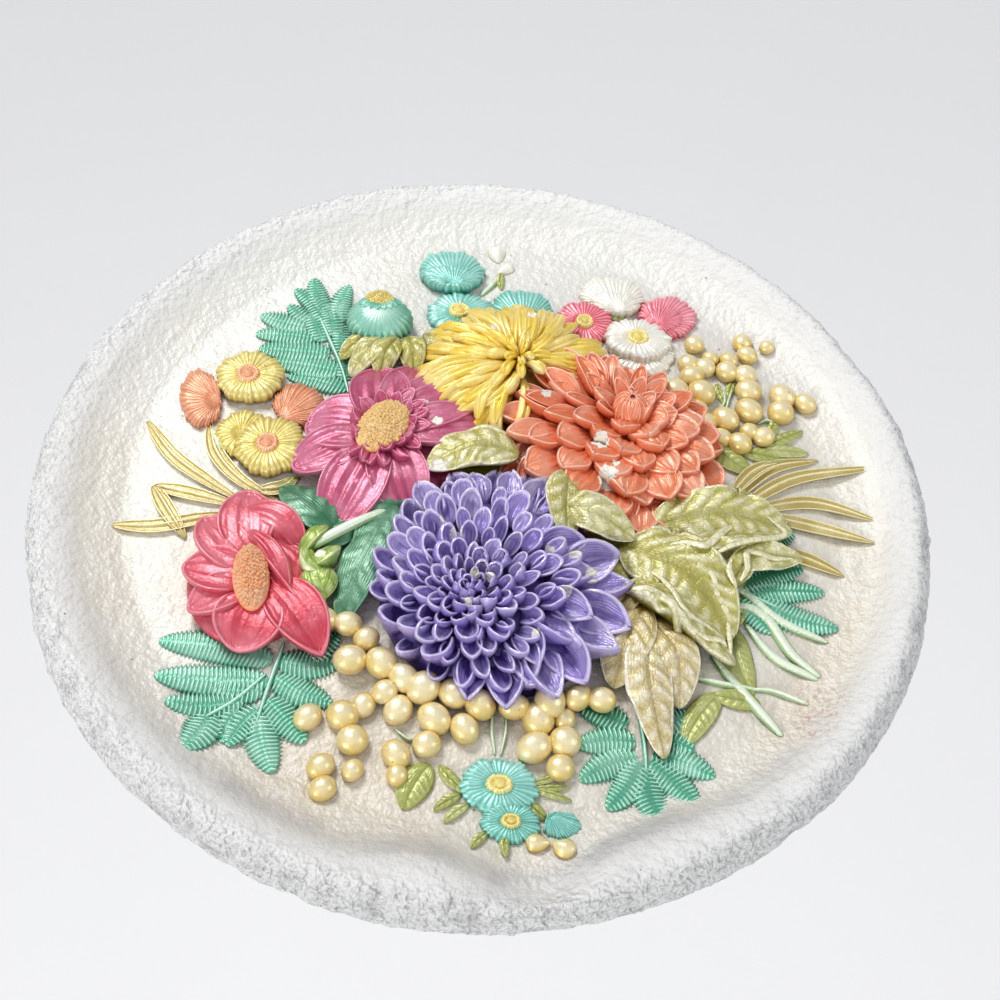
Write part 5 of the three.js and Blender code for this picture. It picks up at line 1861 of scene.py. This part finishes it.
@dataclass
class Sprigs:
    """Thin stems, small leaves and buds round the bouquet, low on the field."""

    def pieces(self) -> list[Piece]:
        """The sprigs, one piece for each kind and paint."""
        stems = strands(
            STEM_ROWS, lambda path: on_field(path, 0.5), Surface.STEM, crest=1.7, blunt=0.3, stations=30,
            lanes=8,
        )
        bent = [
            (((u0, v0), ((u0 + u1) / 2 + 0.06 * (v1 - v0), (v0 + v1) / 2), (u1, v1)), width)
            for u0, v0, u1, v1, width in SMALL_LEAVES
        ]
        leaves = strands(
            bent, lambda path: on_field(path, 0.4), Surface.LEAF, crest=1.2, cup=0.5, peak=0.45, blunt=0.6,
            pitch=3.0, depth=0.22, wave=0.2, stations=26, lanes=12,
        )
        golden, cream = (
            strands(
                rows, lambda path: on_field(path, 0.4), Surface.STEM, crest=2.6, peak=0.4, blunt=0.72,
                lanes=16,
            )
            for rows in (GOLD_BUDS, CREAM_BUDS)
        )
        return [
            Piece("sprig_stems", STEM_GREEN, [stems]),
            Piece("sprig_leaves", SPRIG_GREEN, [leaves]),
            Piece("gold_buds", GOLD, [golden]),
            Piece("cream_buds", DAISY_WHITE, [cream]),
        ]


@dataclass
class Studio:
    """A plain pale sweep of floor and wall far behind the plaque, soft lights and the camera."""

    aim: Point = (0.0063, -0.012, -0.0025)
    distance: float = 0.5555
    elevation: float = math.radians(-36.6)
    roll: float = math.radians(6.15)
    lens: float = 50.4

    def sweep(self) -> None:
        """Makes the floor and the wall behind as one sheet, with a quarter round between them."""
        low, high, back, bend, half = -1.5, 9.0, 1.6, 0.6, 60.0
        turn = np.linspace(0, np.pi / 2, 16)
        y = np.concatenate([[-half], back - bend + bend * np.sin(turn), [back]])
        z = np.concatenate([[low], low + bend - bend * np.cos(turn), [high]])
        x = np.array([-half, half])
        grid = together(x[None], y[:, None], z[:, None]).reshape(-1, 3)
        row = np.arange(len(y) - 1) * 2
        faces = np.stack([row, row + 1, row + 3, row + 2], axis=-1)
        mesh = bpy.data.meshes.new("sweep")
        mesh.from_pydata(grid.tolist(), [], faces.tolist())
        mesh.shade_smooth()
        shader = Shader("sweep_paper")
        darker, lighter = colour(226, 226, 227), colour(230, 230, 230)
        shader.feed("Base Color", shader.mix(shader.noise(400.0), darker, lighter))
        shader.feed("Roughness", 0.9)
        shader.feed("Emission Color", (1.0, 1.0, 1.0, 1.0))
        shader.feed("Emission Strength", 0.34)
        mesh.materials.append(shader.material)
        sheet = added("sweep", mesh)

    def light(self, name: str, place: tuple, size: float, power: float, tint: tuple) -> None:
        """Adds a square soft light that faces the plaque."""
        data = bpy.data.lights.new(name, "AREA")
        data.energy, data.size, data.color = power, size, tint
        lamp = added(name, data)
        lamp.location = place
        lamp.rotation_mode = "QUATERNION"
        lamp.rotation_quaternion = (-Vector(place)).to_track_quat("-Z", "Y")
        lamp.visible_camera = False

    def camera(self) -> None:
        """Places the camera below the plaque, looking up at its face, with a slight roll."""
        data = bpy.data.cameras.new("camera")
        data.lens, data.sensor_width = self.lens, 36.0
        data.clip_start, data.clip_end = 0.01, 20.0
        camera = added("camera", data)
        back = np.array([0, -math.cos(self.elevation), math.sin(self.elevation)])
        level = np.array([1.0, 0.0, 0.0])
        right, up = leaning(level, np.cross(back, level), self.roll)
        pose = Matrix((right, up, back)).transposed().to_4x4()
        pose.translation = np.array(self.aim) + self.distance * back
        camera.matrix_world = pose
        bpy.context.scene.camera = camera

    def build(self) -> None:
        """Sets up the room, the lights and the camera."""
        self.sweep()
        self.light("key", (-0.5, -1.0, 0.62), 0.42, 11.0, (1.0, 0.99, 0.97))
        self.light("side", (1.1, -0.8, -0.1), 0.5, 3.0, (0.95, 0.97, 1.0))
        self.light("low", (-0.7, -0.5, -1.0), 0.35, 5.0, (1.0, 1.0, 1.0))
        world = bpy.data.worlds.new("studio")
        world.use_nodes = True
        world.node_tree.nodes["Background"].inputs["Color"].default_value = (0.93, 0.95, 1.0, 1.0)
        world.node_tree.nodes["Background"].inputs["Strength"].default_value = 0.33
        bpy.context.scene.world = world
        bpy.context.scene.view_settings.view_transform = "Standard"
        self.camera()


def main() -> None:
    """Builds the plaque, piece by piece, and the studio round it."""
    logging.basicConfig(level=logging.INFO, format="%(name)s: %(message)s")
    relief = [
        PurpleDahlia().piece(), OrangeDahlia().piece(), MauveDahlia().piece(), Anemone().piece(),
        *FlowerEyes().pieces(), Chrysanthemum().piece(), *Daisies().pieces(), *PoppyHead().pieces(),
        Berries().piece(), Ferns().piece(), Grass().piece(), *Leaves().pieces(), *Sprigs().pieces(),
    ]
    crevices = Crevices()
    crevices.measure(relief)
    for piece in [Dish().piece(), *relief]:
        piece.build(crevices)
    Studio().build()


if __name__ == "__main__":
    main()
